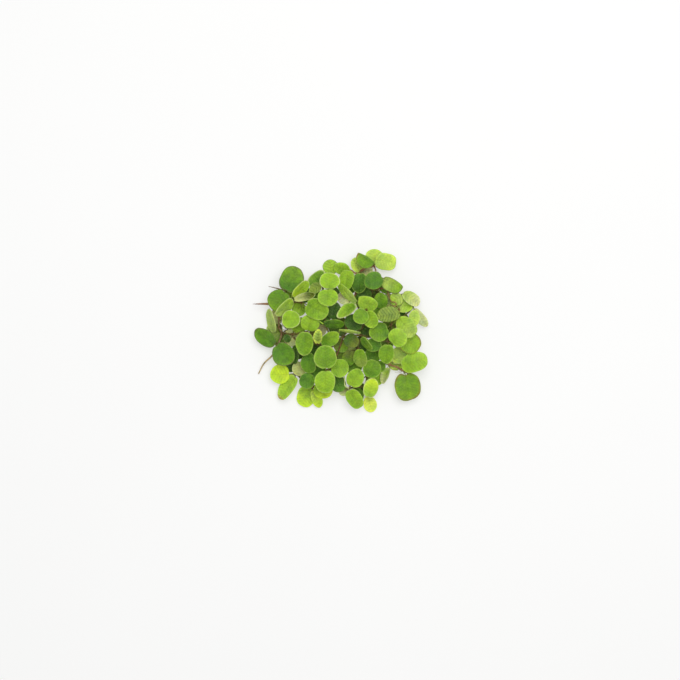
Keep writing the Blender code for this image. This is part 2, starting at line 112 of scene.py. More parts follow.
# Hairs: how many there are to a millimetre of stem and root, how long and how thick they are, how far apart
# the tufts on a blade stand, how far they are shifted at random, and how much a tuft's four hairs lean
STEM_HAIRS_PER_MM = 5.0
STEM_HAIR_LENGTH = 0.9
ROOT_HAIRS_PER_MM = 4.0
ROOT_HAIR_LENGTH = 0.7
STEM_HAIR_RADIUS = 0.045
LEAF_HAIR_LENGTH = 0.40
LEAF_HAIR_RADIUS = 0.027
TUFT_PITCH = 0.66
TUFT_SHIFT = 0.07
TUFT_LEAN = 0.75

# The skins: how strong the bumps are, and how many patches, grains and cells there are to a metre
BUMP_STRENGTH = 0.8
BUMP_DISTANCE = 0.00012
BROAD_PATCHES = 420.0
FINE_GRAINS = 2600.0
SKIN_CELLS = 2100.0
BARK_PATCHES = 900.0

# Colours as the eye sees them, from 0 to 255
COLOURS = {
    # The darkest green is that of leaves lying in shade, darker than their own colour: painted shade on the
    # blades that take it.
    "deep": (64, 102, 18),
    "forest": (84, 132, 30),
    "moss": (98, 144, 24),
    "grass": (118, 160, 30),
    "fresh": (142, 182, 40),
    "spring": (160, 197, 56),
    "lime": (190, 219, 48),
    "yellow": (218, 234, 92),
    "light": (186, 212, 88),
    "pale": (170, 196, 90),
    "sage": (138, 162, 66),
    "olive": (106, 120, 32),
    "cream": (206, 214, 146),
    "sand": (170, 164, 118),
    "dry": (172, 182, 108),
    "umber": (112, 118, 66),
    "russet": (165, 130, 80),
    "rust": (136, 130, 52),
    "bark": (104, 74, 34),
    "tan": (160, 136, 96),
    "straw": (196, 174, 124),
    "red_brown": (128, 72, 44),
    "under": (172, 184, 120),
    "down": (186, 206, 120),
}

# Each green belongs to one finish of the record.
FINISH_OF = {
    "deep": "leaf_dark", "forest": "leaf_dark", "olive": "leaf_dark",
    "moss": "leaf_mid", "grass": "leaf_mid",
    "fresh": "leaf_bright", "spring": "leaf_bright",
    "lime": "leaf_lime", "yellow": "leaf_lime",
    "pale": "leaf_pale", "sage": "leaf_pale", "cream": "leaf_pale", "sand": "leaf_pale",
    "light": "leaf_lime", "dry": "leaf_pale",
}

# Leaves: blade centre, (heading, pitch, roll) in degrees, (length, width), fold in degrees, droop of the
# ends, and the colours of the stalk's half, the tip's half and the rim. A heading of 0 points along +X, a
# pitch above 0 lifts the tip, and a roll above 0 lifts the left side.
LEAVES = {
    "west_leaf_1": ((-24.0, 24.9, 9.6), (64, 3, 0), (13.4, 12.2), 6, 0.5, "forest grass umber"),
    "west_leaf_2": ((-30.2, 14.5, 8.2), (235, 2, 0), (11.2, 11.4), 6, 0.5, "moss grass umber"),
    "west_leaf_3": ((-27.4, 10.8, 11.8), (45, 4, 55), (12.0, 8.8), 8, 0.4, "pale spring cream"),
    "west_leaf_4": ((-24.3, 5.2, 11.0), (2, 5, 0), (9.4, 9.0), 6, 0.5, "fresh fresh cream"),
    "west_leaf_5": ((-37.1, -3.9, 6.7), (144, 0, -30), (12.6, 9.8), 12, 0.3, "forest moss umber"),
    "west_leaf_6": ((-27.9, -12.0, 9.2), (-49, 3, 8), (12.2, 11.0), 6, 0.5, "forest moss umber"),
    "southwest_leaf_1": ((-29.8, -22.0, 4.5), (180, 4, 0), (9.8, 9.8), 4, 0.4, "lime lime lime"),
    "southwest_leaf_2": ((-25.9, -28.6, 4.0), (235, -4, 30), (13.8, 8.6), 10, 0.4, "spring spring pale"),
    "southwest_leaf_3": ((-16.8, -33.2, 1.0), (248, 0, 0), (10.5, 9.5), 0, 0.0, "spring lime lime"),
    "south_leaf_1": ((-7.2, -13.5, 17.5), (92, 4, 0), (11.8, 11.3), 6, 0.6, "grass grass pale"),
    "south_leaf_2": ((-7.2, -25.5, 15.5), (270, -8, 0), (11.6, 10.5), 6, 0.6, "fresh fresh pale"),
    "south_leaf_3": ((-0.2, -18.8, 13.0), (5, 4, 0), (9.2, 9.2), 4, 0.5, "fresh fresh pale"),
    "south_leaf_4": ((-15.5, -16.5, 10.5), (272, -6, 25), (10.5, 8.6), 8, 0.5, "forest moss pale"),
    "south_outer_leaf_1": ((7.5, -23.8, 12.0), (60, 10, 0), (9.8, 8.6), 4, 0.5, "fresh fresh pale"),
    "south_outer_leaf_2": ((7.0, -34.3, 7.5), (-60, -15, 20), (11.2, 8.6), 8, 0.5, "fresh fresh pale"),
    "south_outer_leaf_3": ((15.3, -28.9, 8.2), (75, 4, 20), (10.3, 8.0), 6, 0.5, "spring lime cream"),
    "south_outer_leaf_4": ((15.0, -37.0, 1.0), (-75, 0, 0), (8.4, 6.6), 0, 0.0, "yellow yellow yellow"),
    "south_outer_leaf_5": ((15.8, -19.3, 9.0), (70, 5, 0), (9.4, 9.0), 5, 0.5, "moss grass pale"),
    "southeast_leaf_1": ((33.4, -28.1, 6.0), (-80, -3, 0), (14.2, 13.2), 4, 0.6, "grass grass rust"),
    "southeast_leaf_2": ((36.6, -15.6, 8.5), (18, 4, -16), (13.6, 11.6), 6, 0.5, "fresh spring pale"),
    # Painted light: this blade lies low in shade and is coloured paler than its own green.
    "southeast_leaf_3": ((28.0, -15.4, 2.4), (110, 4, 0), (10.0, 9.6), 5, 0.4, "light dry russet"),
    "east_leaf_1": ((23.8, 7.4, 15.5), (190, 4, 25), (11.8, 8.6), 6, 0.5, "sage sage olive"),
    "east_leaf_2": ((32.6, 1.4, 14.0), (-48, -4, 8), (12.2, 9.2), 5, 0.5, "spring pale pale"),
    "east_leaf_3": ((19.2, -1.0, 13.2), (208, 3, 0), (9.8, 9.6), 5, 0.5, "moss grass pale"),
    "east_leaf_4": ((28.4, -3.9, 16.6), (42, 5, 0), (8.6, 10.0), 5, 0.5, "fresh spring pale"),
    "east_leaf_5": ((22.8, -11.8, 14.6), (262, -5, 20), (9.8, 8.2), 5, 0.5, "grass grass pale"),
    "east_leaf_6": ((34.2, -6.2, 9.2), (-35, -4, 0), (12.4, 10.8), 4, 0.5, "fresh fresh rust"),
    "northeast_leaf_1": ((35.4, 15.6, 8.2), (-34, -4, -20), (10.2, 6.8), 6, 0.4, "pale cream cream"),
    "northeast_leaf_2": ((31.6, 11.9, 7.3), (182, 4, 14), (9.2, 7.0), 6, 0.4, "spring pale pale"),
    "northeast_leaf_3": ((39.9, 6.0, 4.7), (-52, -6, 12), (11.4, 5.0), 8, 0.3, "cream cream cream"),
    "north_leaf_1": ((22.6, 33.9, 6.4), (-9, -3, 12), (10.8, 8.9), 6, 0.5, "light light pale"),
    "north_leaf_2": ((12.9, 35.3, 8.2), (148, 0, 14), (9.8, 10.6), 10, 0.3, "moss grass umber"),
    "north_leaf_3": ((3.2, 24.9, 9.5), (262, 5, 20), (10.4, 8.0), 6, 0.4, "fresh fresh pale"),
    "north_leaf_4": ((9.6, 23.2, 10.5), (266, 6, 25), (10.4, 8.6), 8, 0.4, "forest deep pale"),
    "north_inner_leaf_1": ((16.6, 24.2, 14.6), (205, 3, 0), (9.6, 8.8), 5, 0.5, "forest forest sage"),
    "north_inner_leaf_2": ((26.0, 22.7, 12.0), (-29, -6, 20), (10.8, 9.4), 6, 0.5, "pale fresh umber"),
    "crown_left_leaf_1": ((-6.0, 15.9, 18.0), (270, 12, 0), (8.8, 10.4), 5, 0.5, "fresh fresh pale"),
    "crown_left_leaf_2": ((-5.1, 24.0, 15.9), (87, -8, 0), (8.4, 10.2), 5, 0.5, "fresh fresh cream"),
    "crown_right_leaf_1": ((10.2, 6.6, 18.6), (236, 6, 0), (7.8, 7.6), 4, 0.4, "grass grass pale"),
    "crown_right_leaf_2": ((15.0, 5.2, 17.3), (-68, 2, 15), (9.2, 7.4), 4, 0.4, "fresh fresh pale"),
    "crown_right_leaf_3": ((13.4, 12.7, 15.2), (-18, 2, 30), (10.4, 8.6), 6, 0.4, "spring spring pale"),
    "crown_right_leaf_4": ((3.4, 17.7, 13.5), (135, -6, -52), (13.0, 6.6), 6, 0.4, "pale spring pale"),
    "crown_right_leaf_5": ((3.5, 9.4, 12.6), (214, -3, 42), (11.6, 8.2), 6, 0.4, "grass spring cream"),
    "northwest_leaf_1": ((-11.5, 10.1, 15.3), (-25, 4, 12), (12.0, 10.4), 6, 0.6, "grass fresh pale"),
    "main_leaf_1": ((-17.3, -6.6, 14.2), (268, 0, 15), (12.0, 9.2), 8, 0.5, "grass grass pale"),
    "main_leaf_2": ((-14.8, 3.2, 12.5), (78, 9, 0), (8.4, 9.4), 6, 0.4, "fresh fresh pale"),
    "main_leaf_3": ((-5.0, -4.4, 12.8), (25, -4, 30), (10.4, 8.0), 6, 0.4, "moss fresh pale"),
}

# Small and inner leaves, in the same form
SMALL_LEAVES = {
    "west_small_1": ((-34.4, 4.4, 5.2), (103, 0, -58), (12.6, 8.4), 8, 0.3, "pale pale cream"),
    "west_small_2": ((-32.6, 0.4, 1.0), (186, 0, 0), (8.4, 7.6), 0, 0.0, "sage pale cream"),
    "west_small_3": ((-26.2, -4.2, 7.6), (-60, 0, 0), (4.4, 3.6), 6, 0.2, "deep deep umber"),
    # Painted light: this blade lies low in shade and is coloured paler than its own green.
    "west_small_4": ((-23.8, -3.8, 3.6), (-18, 0, 0), (9.2, 8.8), 4, 0.3, "cream cream sand"),
    "southwest_small_1": ((-22.0, -12.2, 7.2), (266, -6, 55), (9.6, 7.6), 8, 0.3, "deep deep umber"),
    "southwest_small_2": ((-20.2, -19.2, 5.4), (-100, -4, 0), (7.2, 7.4), 5, 0.3, "dry dry cream"),
    "southwest_small_3": ((-16.4, -25.2, 7.8), (-20, 4, 0), (8.0, 8.0), 5, 0.4, "forest moss pale"),
    "southwest_small_4": ((-11.7, -34.2, 2.4), (-68, -2, 0), (9.8, 5.4), 6, 0.2, "light lime pale"),
    "southwest_small_5": ((-8.4, -29.8, 5.9), (-80, -6, 0), (9.2, 9.6), 5, 0.4, "grass lime lime"),
    "southwest_small_6": ((-24.6, -17.2, 1.6), (112, 0, 0), (8.0, 7.4), 5, 0.3, "deep forest umber"),
    "south_small_1": ((-1.0, -26.8, 7.9), (-70, -6, 0), (8.4, 8.2), 5, 0.4, "deep forest umber"),
    "south_small_2": ((-11.0, -20.4, 6.4), (188, 0, 0), (8.6, 8.0), 5, 0.3, "moss forest umber"),
    "south_outer_small_1": ((17.2, -23.6, 2.6), (-30, -4, 0), (9.4, 7.8), 5, 0.3, "spring fresh pale"),
    "south_outer_small_4": ((16.4, -12.6, 4.0), (28, 0, 0), (8.6, 8.0), 5, 0.3, "moss moss pale"),
    "southeast_small_1": ((22.6, -22.7, 6.2), (245, -6, 52), (8.8, 6.2), 6, 0.2, "spring cream cream"),
    "east_small_1": ((16.6, -7.4, 10.0), (190, -4, 10), (8.4, 7.0), 6, 0.3, "forest moss pale"),
    "northeast_small_1": ((36.9, 6.0, 6.4), (-92, 0, 0), (8.4, 5.6), 0, 0.0, "light light cream"),
    "northeast_small_2": ((27.9, 15.3, 8.4), (212, 3, 0), (6.6, 7.0), 5, 0.3, "pale spring pale"),
    "north_small_1": ((8.6, 32.2, 5.0), (112, -6, 20), (8.0, 6.8), 6, 0.3, "light light light"),
    "north_small_2": ((0.9, 30.3, 4.2), (160, -4, -25), (8.6, 6.8), 6, 0.3, "fresh spring pale"),
    "north_small_3": ((17.2, 36.2, 1.0), (92, 0, 0), (8.4, 9.5), 0, 0.0, "light light light"),
    "north_small_4": ((12.0, 17.8, 8.6), (-20, 0, 0), (7.6, 6.8), 6, 0.3, "deep deep umber"),
    "north_inner_small_1": ((20.2, 14.4, 9.6), (-80, -6, 15), (8.4, 7.0), 6, 0.3, "grass moss umber"),
    "north_inner_small_2": ((15.9, 17.2, 3.2), (-60, 0, 0), (8.0, 7.8), 5, 0.3, "deep olive umber"),
    "crown_left_small_1": ((-4.8, 31.4, 1.0), (95, 0, 0), (7.8, 7.6), 0, 0.0, "spring spring umber"),
    "crown_left_small_2": ((-11.6, 25.4, 7.4), (132, -8, 0), (6.4, 10.8), 6, 0.3, "moss grass cream"),
    "crown_left_small_3": ((-12.2, 20.4, 10.5), (215, -5, 30), (7.2, 6.0), 6, 0.3, "sage sage pale"),
    "crown_left_small_4": ((-2.9, 9.3, 8.9), (80, 0, 0), (8.9, 7.3), 6, 0.3, "deep deep umber"),
    "crown_left_small_5": ((-3.1, 2.8, 12.8), (-2, 0, 54), (10.6, 7.6), 8, 0.3, "forest moss sage"),
    "crown_left_small_6": ((-10.8, -0.2, 5.8), (205, 0, 0), (9.2, 7.0), 5, 0.3, "sand olive sand"),
    "crown_right_small_1": ((6.8, 3.6, 11.4), (160, 0, 0), (9.6, 8.0), 6, 0.3, "deep deep umber"),
    "crown_right_small_2": ((1.9, 15.6, 9.2), (150, -4, 0), (7.0, 6.0), 6, 0.3, "cream sand pale"),
    "crown_right_small_3": ((13.4, -0.4, 6.2), (-20, 0, 0), (8.4, 7.2), 5, 0.3, "deep deep umber"),
    "northwest_small_1": ((-19.4, 20.0, 11.9), (44, 2, 52), (11.2, 8.0), 8, 0.3, "lime spring cream"),
    "northwest_small_2": ((-17.4, 16.2, 12.2), (14, 2, 0), (11.0, 6.2), 50, 0.2, "cream olive cream"),
    "northwest_small_3": ((-20.4, 10.4, 6.6), (-30, 0, 0), (7.4, 7.0), 6, 0.3, "fresh fresh pale"),
    "main_small_1": ((-10.8, -3.3, 17.2), (85, 8, 0), (7.4, 6.0), 42, 0.2, "sage pale yellow"),
    "main_small_2": ((4.6, -1.1, 13.7), (-8, 12, 74), (11.4, 5.0), 4, 0.2, "light pale pale"),
    "main_small_3": ((5.6, -5.4, 10.4), (-30, 0, 0), (7.8, 7.0), 6, 0.3, "deep olive umber"),
    "main_small_4": ((12.8, -7.0, 13.4), (-50, 0, 60), (8.2, 7.0), 6, 0.2, "moss grass pale"),
    "south_outer_small_2": ((10.0, -14.0, 11.0), (-80, -6, 25), (9.4, 7.4), 6, 0.3, "grass sage pale"),
    "south_outer_small_3": ((4.4, -14.0, 7.4), (-100, -4, 0), (8.0, 7.0), 6, 0.3, "olive moss umber"),
    "west_inner_1": ((-23.2, 25.2, 3.4), (52, 0, 0), (9.0, 8.0), 5, 0.3, "forest moss umber"),
    "west_inner_2": ((-36.2, -4.6, 3.9), (160, 0, 0), (8.6, 7.4), 5, 0.3, "moss grass pale"),
    "west_inner_3": ((-29.4, -13.6, 3.2), (-62, 0, 0), (9.0, 8.0), 5, 0.3, "grass fresh pale"),
    "main_inner_1": ((5.0, -9.6, 2.4), (-70, 0, 0), (9.0, 8.0), 5, 0.3, "cream pale umber"),
    "east_inner_1": ((30.2, 5.2, 3.4), (222, 0, 0), (8.6, 7.6), 5, 0.3, "deep forest umber"),
    "east_inner_2": ((32.6, -7.2, 3.6), (-35, 0, 0), (9.4, 8.6), 5, 0.3, "moss grass umber"),
    "southeast_inner_1": ((19.8, -18.2, 5.3), (215, 0, 0), (5.8, 6.0), 5, 0.3, "moss grass pale"),
    "south_outer_inner_1": ((8.4, -32.6, 3.0), (-80, 0, 0), (8.0, 7.2), 5, 0.3, "moss grass pale"),
    "north_inner_1": ((12.4, 33.6, 1.9), (150, 0, 0), (7.8, 7.0), 5, 0.3, "moss fresh pale"),
    "north_inner_2": ((4.3, 21.9, 2.8), (250, 0, 0), (8.8, 8.0), 5, 0.3, "forest moss umber"),
    "north_inner_inner_1": ((23.2, 21.6, 4.4), (-12, 0, 0), (8.6, 7.2), 5, 0.3, "moss grass umber"),
    "north_inner_inner_2": ((24.2, 14.5, 2.4), (-20, 0, 0), (7.8, 7.2), 5, 0.3, "dry cream umber"),
    "west_inner_4": ((-29.5, -4.9, 2.3), (-84, 0, 0), (8.0, 8.0), 5, 0.2, "sage moss pale"),
    "west_inner_5": ((-31.4, 7.1, 3.0), (-105, 0, 0), (8.6, 6.6), 4, 0.2, "cream cream cream"),
    "main_inner_2": ((-12.4, -9.8, 6.0), (-80, 0, 0), (8.6, 8.0), 5, 0.3, "deep deep umber"),
    "main_inner_3": ((-0.7, 1.6, 5.4), (90, 0, 0), (10.4, 10.2), 5, 0.3, "deep olive umber"),
    "main_inner_4": ((-20.2, 2.2, 5.2), (45, 0, 0), (8.6, 7.8), 5, 0.3, "fresh fresh pale"),
    "south_outer_inner_2": ((6.8, -17.6, 3.8), (194, 0, 0), (9.4, 8.2), 5, 0.3, "grass moss pale"),
    "south_inner_1": ((0.2, -13.6, 5.2), (-10, 0, 0), (8.4, 7.0), 5, 0.3, "olive moss umber"),
    "northwest_inner_2": ((-25.4, 16.9, 4.9), (100, 0, 0), (6.6, 7.6), 5, 0.3, "grass grass umber"),
    "main_inner_5": ((0.4, -7.8, 6.8), (-28, 0, 0), (8.0, 6.8), 5, 0.3, "olive grass umber"),
    "main_inner_6": ((11.0, -7.0, 3.6), (-55, 0, 0), (8.6, 7.6), 5, 0.3, "deep deep umber"),
    "southwest_inner_1": ((-20.4, -10.6, 2.2), (112, 0, 0), (8.2, 7.6), 5, 0.3, "deep olive umber"),
    "crown_left_inner_1": ((-4.0, 17.2, 6.4), (62, 0, 0), (9.2, 7.6), 5, 0.3, "deep deep umber"),
    "main_inner_7": ((22.6, -7.2, 5.3), (-115, 0, 0), (8.4, 7.6), 5, 0.3, "moss grass pale"),
    "crown_right_inner_1": ((18.4, 9.2, 7.4), (38, 0, 0), (8.6, 7.6), 5, 0.3, "grass moss umber"),
    "crown_left_inner_2": ((-11.6, 15.6, 7.6), (140, 0, 0), (8.6, 7.8), 5, 0.3, "grass moss umber"),
    "crown_left_inner_3": ((-8.6, 6.7, 7.1), (120, 0, 0), (8.4, 7.8), 5, 0.3, "forest grass umber"),
    "south_outer_inner_3": ((10.3, -29.8, 1.6), (130, 0, 0), (7.2, 6.8), 4, 0.2, "deep deep umber"),
    # Painted light: this blade lies low in shade and is coloured paler than its own green.
    "southeast_inner_2": ((29.4, -12.4, 5.4), (42, 4, 0), (10.2, 8.2), 5, 0.3, "light pale cream"),
    "north_inner_3": ((10.2, 14.8, 4.9), (20, 0, 0), (8.4, 7.6), 5, 0.3, "moss forest umber"),
    "northeast_inner_1": ((23.9, 1.6, 5.8), (190, 0, 0), (7.8, 6.8), 5, 0.3, "grass moss umber"),
    "north_inner_4": ((12.4, 28.7, 3.3), (200, 0, 0), (9.0, 7.0), 5, 0.3, "cream sand russet"),
    "west_inner_6": ((-25.4, 3.4, 1.2), (80, 0, 0), (6.4, 6.0), 4, 0.2, "sage pale pale"),
    "south_outer_inner_4": ((2.0, -30.6, 3.0), (215, 0, 0), (5.2, 4.4), 4, 0.2, "dry cream cream"),
    "south_outer_inner_5": ((9.2, -24.4, 2.8), (190, 0, 0), (5.4, 5.2), 4, 0.2, "moss grass pale"),
    "northwest_inner_1": ((-17.4, 17.4, 3.8), (40, 0, 0), (8.0, 7.8), 5, 0.3, "deep moss umber"),
}

# Stems: each is one or more paths. A path holds its points in order, each with the leaves that grow there.
STEMS = {
    "west_stem": [
        [
            ((-26.9, 19.5, 6.2), "west_leaf_1", "west_leaf_2", "west_inner_1"),
            ((-29.8, 12.5, 6.6), "west_inner_5"),
            ((-30.2, 6.2, 7.6), "west_leaf_3", "west_leaf_4"),
            ((-30.4, 1.6, 4.6), "west_small_1", "west_small_2", "west_inner_4"),
            ((-29.0, -1.8, 5.0), "west_small_3", "west_small_4", "west_inner_6"),
            ((-30.8, -7.6, 5.8), "west_leaf_5", "west_leaf_6", "west_inner_2", "west_inner_3"),
        ],
    ],
    "southwest_stem": [
        [
            ((-22.9, -3.6, 6.6),),
            ((-18.9, -9.2, 7.8), "southwest_small_1", "south_leaf_4"),
            ((-18.6, -15.0, 3.8), "southwest_small_2", "southwest_inner_1"),
            ((-20.4, -22.6, 3.4), "southwest_small_3"),
            ((-14.2, -28.6, 2.6), "southwest_leaf_3", "southwest_small_4"),
            ((-9.6, -24.6, 4.8), "southwest_small_5"),
        ],
        [
            ((-20.4, -22.6, 3.4),),
            ((-22.7, -22.0, 2.5), "southwest_leaf_1", "southwest_leaf_2", "southwest_small_6"),
        ],
    ],
    "south_stem": [
        [
            ((-4.2, -7.9, 8.6),),
            ((-4.6, -12.5, 8.4), "south_inner_1"),
            ((-4.2, -19.2, 8.2), "south_small_1", "south_small_2"),
            ((-5.6, -19.6, 11.0), "south_leaf_3"),
            ((-7.2, -19.9, 14.7), "south_leaf_1", "south_leaf_2"),
        ],
    ],
    "south_outer_stem": [
        [
            ((10.2, -4.3, 8.0),),
            ((9.0, -9.6, 6.4), "south_outer_small_2", "south_outer_small_3"),
            ((12.0, -16.0, 5.2), "south_outer_small_4", "south_outer_inner_2"),
            ((13.4, -22.8, 5.2), "south_outer_leaf_5", "south_outer_small_1", "south_outer_inner_5"),
            ((12.6, -28.0, 4.2),),
            ((13.4, -33.2, 4.2), "south_outer_leaf_3", "south_outer_leaf_4", "south_outer_inner_3"),
        ],
        [
            ((12.6, -28.0, 4.2),),
            ((8.0, -28.4, 6.0), "south_outer_inner_1"),
            ((4.6, -28.8, 7.6), "south_outer_leaf_1", "south_outer_leaf_2", "south_outer_inner_4"),
        ],
    ],
    "southeast_stem": [
        [
            ((16.6, -4.9, 7.2),),
            ((19.5, -10.5, 6.0),),
            ((24.4, -16.8, 6.6), "southeast_small_1", "southeast_inner_1", "southeast_inner_2"),
            ((28.2, -18.4, 6.6),),
            ((31.6, -20.4, 5.4), "southeast_leaf_1", "southeast_leaf_2", "southeast_leaf_3"),
        ],
    ],
    "east_stem": [
        [
            ((29.2, 10.2, 12.8), "east_leaf_1"),
            ((25.2, 2.6, 10.2), "east_leaf_2", "east_leaf_3"),
            ((26.8, -1.9, 8.2), "east_leaf_6", "east_inner_2"),
            ((25.0, -5.0, 9.8), "east_small_1"),
            ((23.7, -6.3, 12.9), "east_leaf_4", "east_leaf_5"),
        ],
    ],
    "northeast_stem": [
        [
            ((27.7, 1.5, 8.8), "northeast_inner_1"),
            ((31.0, 6.0, 6.0), "east_inner_1"),
            ((36.2, 12.0, 4.0), "northeast_leaf_2", "northeast_leaf_3", "northeast_small_1"),
            ((31.0, 17.8, 6.3), "northeast_leaf_1", "northeast_small_2"),
        ],
    ],
    "north_stem": [
        [
            ((3.0, -1.6, 8.2),),
            ((3.4, 6.0, 7.2),),
            ((5.4, 13.0, 6.6), "crown_right_small_2", "north_inner_3"),
            ((8.0, 18.6, 6.2), "north_small_4"),
            ((9.8, 23.2, 5.4),),
            ((10.4, 29.2, 6.4), "north_leaf_4", "north_small_1", "north_inner_4"),
            ((17.0, 32.0, 4.2), "north_leaf_1", "north_leaf_2", "north_small_3", "north_inner_1"),
        ],
        [
            ((10.1, 26.6, 5.8),),
            ((5.2, 29.6, 6.0), "north_leaf_3", "north_small_2", "north_inner_2"),
        ],
    ],
    "north_inner_stem": [
        [
            ((11.4, 22.6, 5.6),),
            ((15.5, 20.2, 6.4), "north_inner_small_2"),
            ((18.8, 20.4, 7.8), "north_inner_small_1", "north_inner_inner_1", "north_inner_inner_2"),
            ((20.3, 25.6, 10.6), "north_inner_leaf_1", "north_inner_leaf_2"),
        ],
    ],
    "crown_left_stem": [
        [
            ((-4.4, -4.8, 8.6),),
            ((-7.0, 3.0, 8.8), "crown_left_small_4", "crown_left_small_5", "crown_left_small_6",
             "crown_left_inner_3"),
            ((-7.6, 11.0, 9.6), "crown_left_inner_1"),
            ((-7.2, 16.4, 12.0),),
            ((-5.6, 19.6, 15.3), "crown_left_leaf_1", "crown_left_leaf_2"),
        ],
        [
            ((-7.4, 14.0, 10.6), "crown_left_inner_2"),
            ((-8.4, 21.8, 7.6), "crown_left_small_2", "crown_left_small_3"),
            ((-5.2, 26.4, 2.8), "crown_left_small_1"),
        ],
    ],
    "crown_right_stem": [
        [
            ((7.6, -1.4, 8.6),),
            ((10.8, 1.2, 9.0), "crown_right_small_1", "crown_right_small_3"),
            ((14.0, 6.0, 12.6), "crown_right_inner_1"),
            ((12.9, 10.2, 15.0), "crown_right_leaf_1", "crown_right_leaf_2"),
        ],
        [
            ((10.8, 1.2, 9.0),),
            ((9.6, 8.0, 8.4),),
            ((8.9, 14.4, 10.9), "crown_right_leaf_3", "crown_right_leaf_4", "crown_right_leaf_5"),
        ],
    ],
    "northwest_stem": [
        [
            ((-28.3, 12.9, 6.8),),
            ((-24.6, 14.2, 6.6), "northwest_small_1", "northwest_small_3", "northwest_inner_1",
             "northwest_inner_2"),
            ((-23.3, 13.8, 8.4), "northwest_small_2"),
            ((-18.8, 13.4, 11.4), "northwest_leaf_1"),
        ],
    ],
    "main_stem": [
        [
            ((-27.5, -1.6, 5.4),),
            ((-23.5, -2.2, 6.8), "main_inner_4"),
            ((-16.4, -1.2, 10.3), "main_leaf_1", "main_leaf_2"),
            ((-13.8, -5.0, 10.6), "main_small_1", "main_inner_2"),
            ((-11.2, -7.0, 10.6), "main_leaf_3"),
            ((-4.0, -6.3, 8.6), "main_inner_5"),
            ((-1.2, -4.8, 8.5), "main_small_2", "main_inner_3"),
            ((1.8, -3.4, 8.3), "main_small_3", "main_inner_1"),
            ((7.4, -2.9, 8.2), "main_inner_6"),
            ((10.4, -2.8, 8.4), "main_small_4"),
            ((16.0, -3.4, 7.6),),
            ((25.3, -2.0, 8.2), "main_inner_7"),
        ],
    ],
}

# Each stem's radius and its two colours, at the nodes and between; most take the first row.
STEM_LOOKS = {"": (0.44, "bark", "olive"), "southeast_stem": (0.36, "russet", "red_brown"),
              "north_stem": (0.42, "red_brown", "russet"), "west_stem": (0.44, "bark", "tan")}

# Roots: each starts at a point of its stem's first path, given by its place in the list. Then come the
# radius and the colour at its start, those at its tip, and the points that it runs through.
ROOTS = {
    "west_stem": [
        (1, (0.85, "russet"), (0.07, "red_brown"), (-36.0, 12.9, 5.6), (-43.4, 12.9, 4.6)),
        (0, (0.34, "bark"), (0.10, "bark"), (-31.2, 20.6, 5.2), (-35.6, 21.7, 4.4)),
        (5, (0.50, "tan"), (0.26, "straw"), (-33.6, -12.6, 4.2), (-37.8, -16.6, 2.6), (-40.7, -21.8, 0.7)),
    ],
    "north_stem": [(6, (0.36, "red_brown"), (0.06, "tan"), (18.2, 28.2, 2.4), (18.4, 25.0, 1.0))],
    "north_inner_stem": [(2, (0.36, "red_brown"), (0.06, "tan"), (24.8, 20.2, 5.8), (28.4, 16.8, 2.6))],
    "southeast_stem": [(4, (0.36, "red_brown"), (0.06, "tan"), (33.8, -21.8, 2.6), (36.4, -23.8, 0.8))],
    "south_stem": [(2, (0.36, "red_brown"), (0.06, "tan"), (-3.6, -16.6, 4.4), (-1.6, -16.4, 0.8))],
    "east_stem": [(2, (0.36, "red_brown"), (0.06, "tan"), (27.6, -4.6, 4.6), (26.4, -8.0, 1.0))],
    "main_stem": [(4, (0.36, "red_brown"), (0.06, "tan"), (-2.8, -8.4, 4.6), (0.6, -9.8, 1.0))],
}

# Runners: thin strands between the leaves. Each has its two radii, its two colours and its points.
RUNNERS = {
    "crown_left_stem": [
        (0.30, 0.27, "sage", "spring",
         (-17.6, 11.6, 11.9), (-14.7, 7.4, 13.6), (-11.2, 4.9, 13.9), (-8.2, 2.9, 12.9)),
        (0.30, 0.26, "bark", "red_brown",
         (1.6, -3.8, 8.2), (0.2, -7.6, 8.7), (-1.6, -12.4, 8.6), (-4.0, -16.4, 8.3)),
    ],
    "north_inner_stem": [
        (0.46, 0.20, "bark", "russet",
         (20.9, 24.4, 9.6), (23.2, 20.0, 8.6), (24.3, 16.2, 9.0), (25.4, 13.9, 9.9),
         (27.2, 13.7, 10.2), (27.9, 12.3, 10.1), (26.8, 11.4, 9.9), (25.9, 12.1, 9.7)),
    ],
    "south_stem": [
        (0.34, 0.30, "pale", "cream",
         (0.2, -19.4, 10.8), (2.1, -23.4, 9.9), (2.5, -27.6, 8.9), (4.4, -28.8, 7.7)),
    ],
}

# How dark the side veins show on some blades, or how light where the value is below 0, which on
# crown_right_leaf_4 and crown_right_leaf_5 are painted highlight streaks; how wide the rim is on some, as a
# share of the radius, a pale rim being partly a painted highlight; the rest take the first value. The
# blades in the last line have a brown tip.
VEIN_AND_STREAK_LEVELS = {"": 0.28, "east_leaf_1": 1.0, "north_leaf_1": -0.3, "crown_left_small_1": 0.6,
         "northeast_small_2": 0.5, "southeast_leaf_3": 0.7, "crown_right_leaf_4": -0.5,
         "northeast_leaf_1": 0.4, "northeast_leaf_2": 0.3, "northeast_small_1": -0.4,
         "crown_right_leaf_2": 0.4, "crown_right_leaf_5": -0.6, "crown_left_leaf_2": -0.3,
         "west_leaf_4": -0.2, "south_leaf_1": 0.35, "east_leaf_2": 0.4, "main_small_1": 0.8,
         "crown_left_small_3": 0.8}
RIM_AND_HIGHLIGHT_WIDTHS = {"": 0.06, "main_small_1": 0.3, "crown_right_leaf_5": 0.12, "south_leaf_1": 0.08,
        "south_leaf_2": 0.08, "south_outer_leaf_3": 0.09, "southeast_leaf_1": 0.12, "west_leaf_1": 0.08,
        "east_leaf_6": 0.11, "west_leaf_5": 0.09, "southeast_small_1": 0.3, "southeast_leaf_2": 0.07,
        "north_inner_leaf_2": 0.10, "crown_left_small_2": 0.12}
BROWN_TIPS = ("north_leaf_2", "southwest_leaf_2")

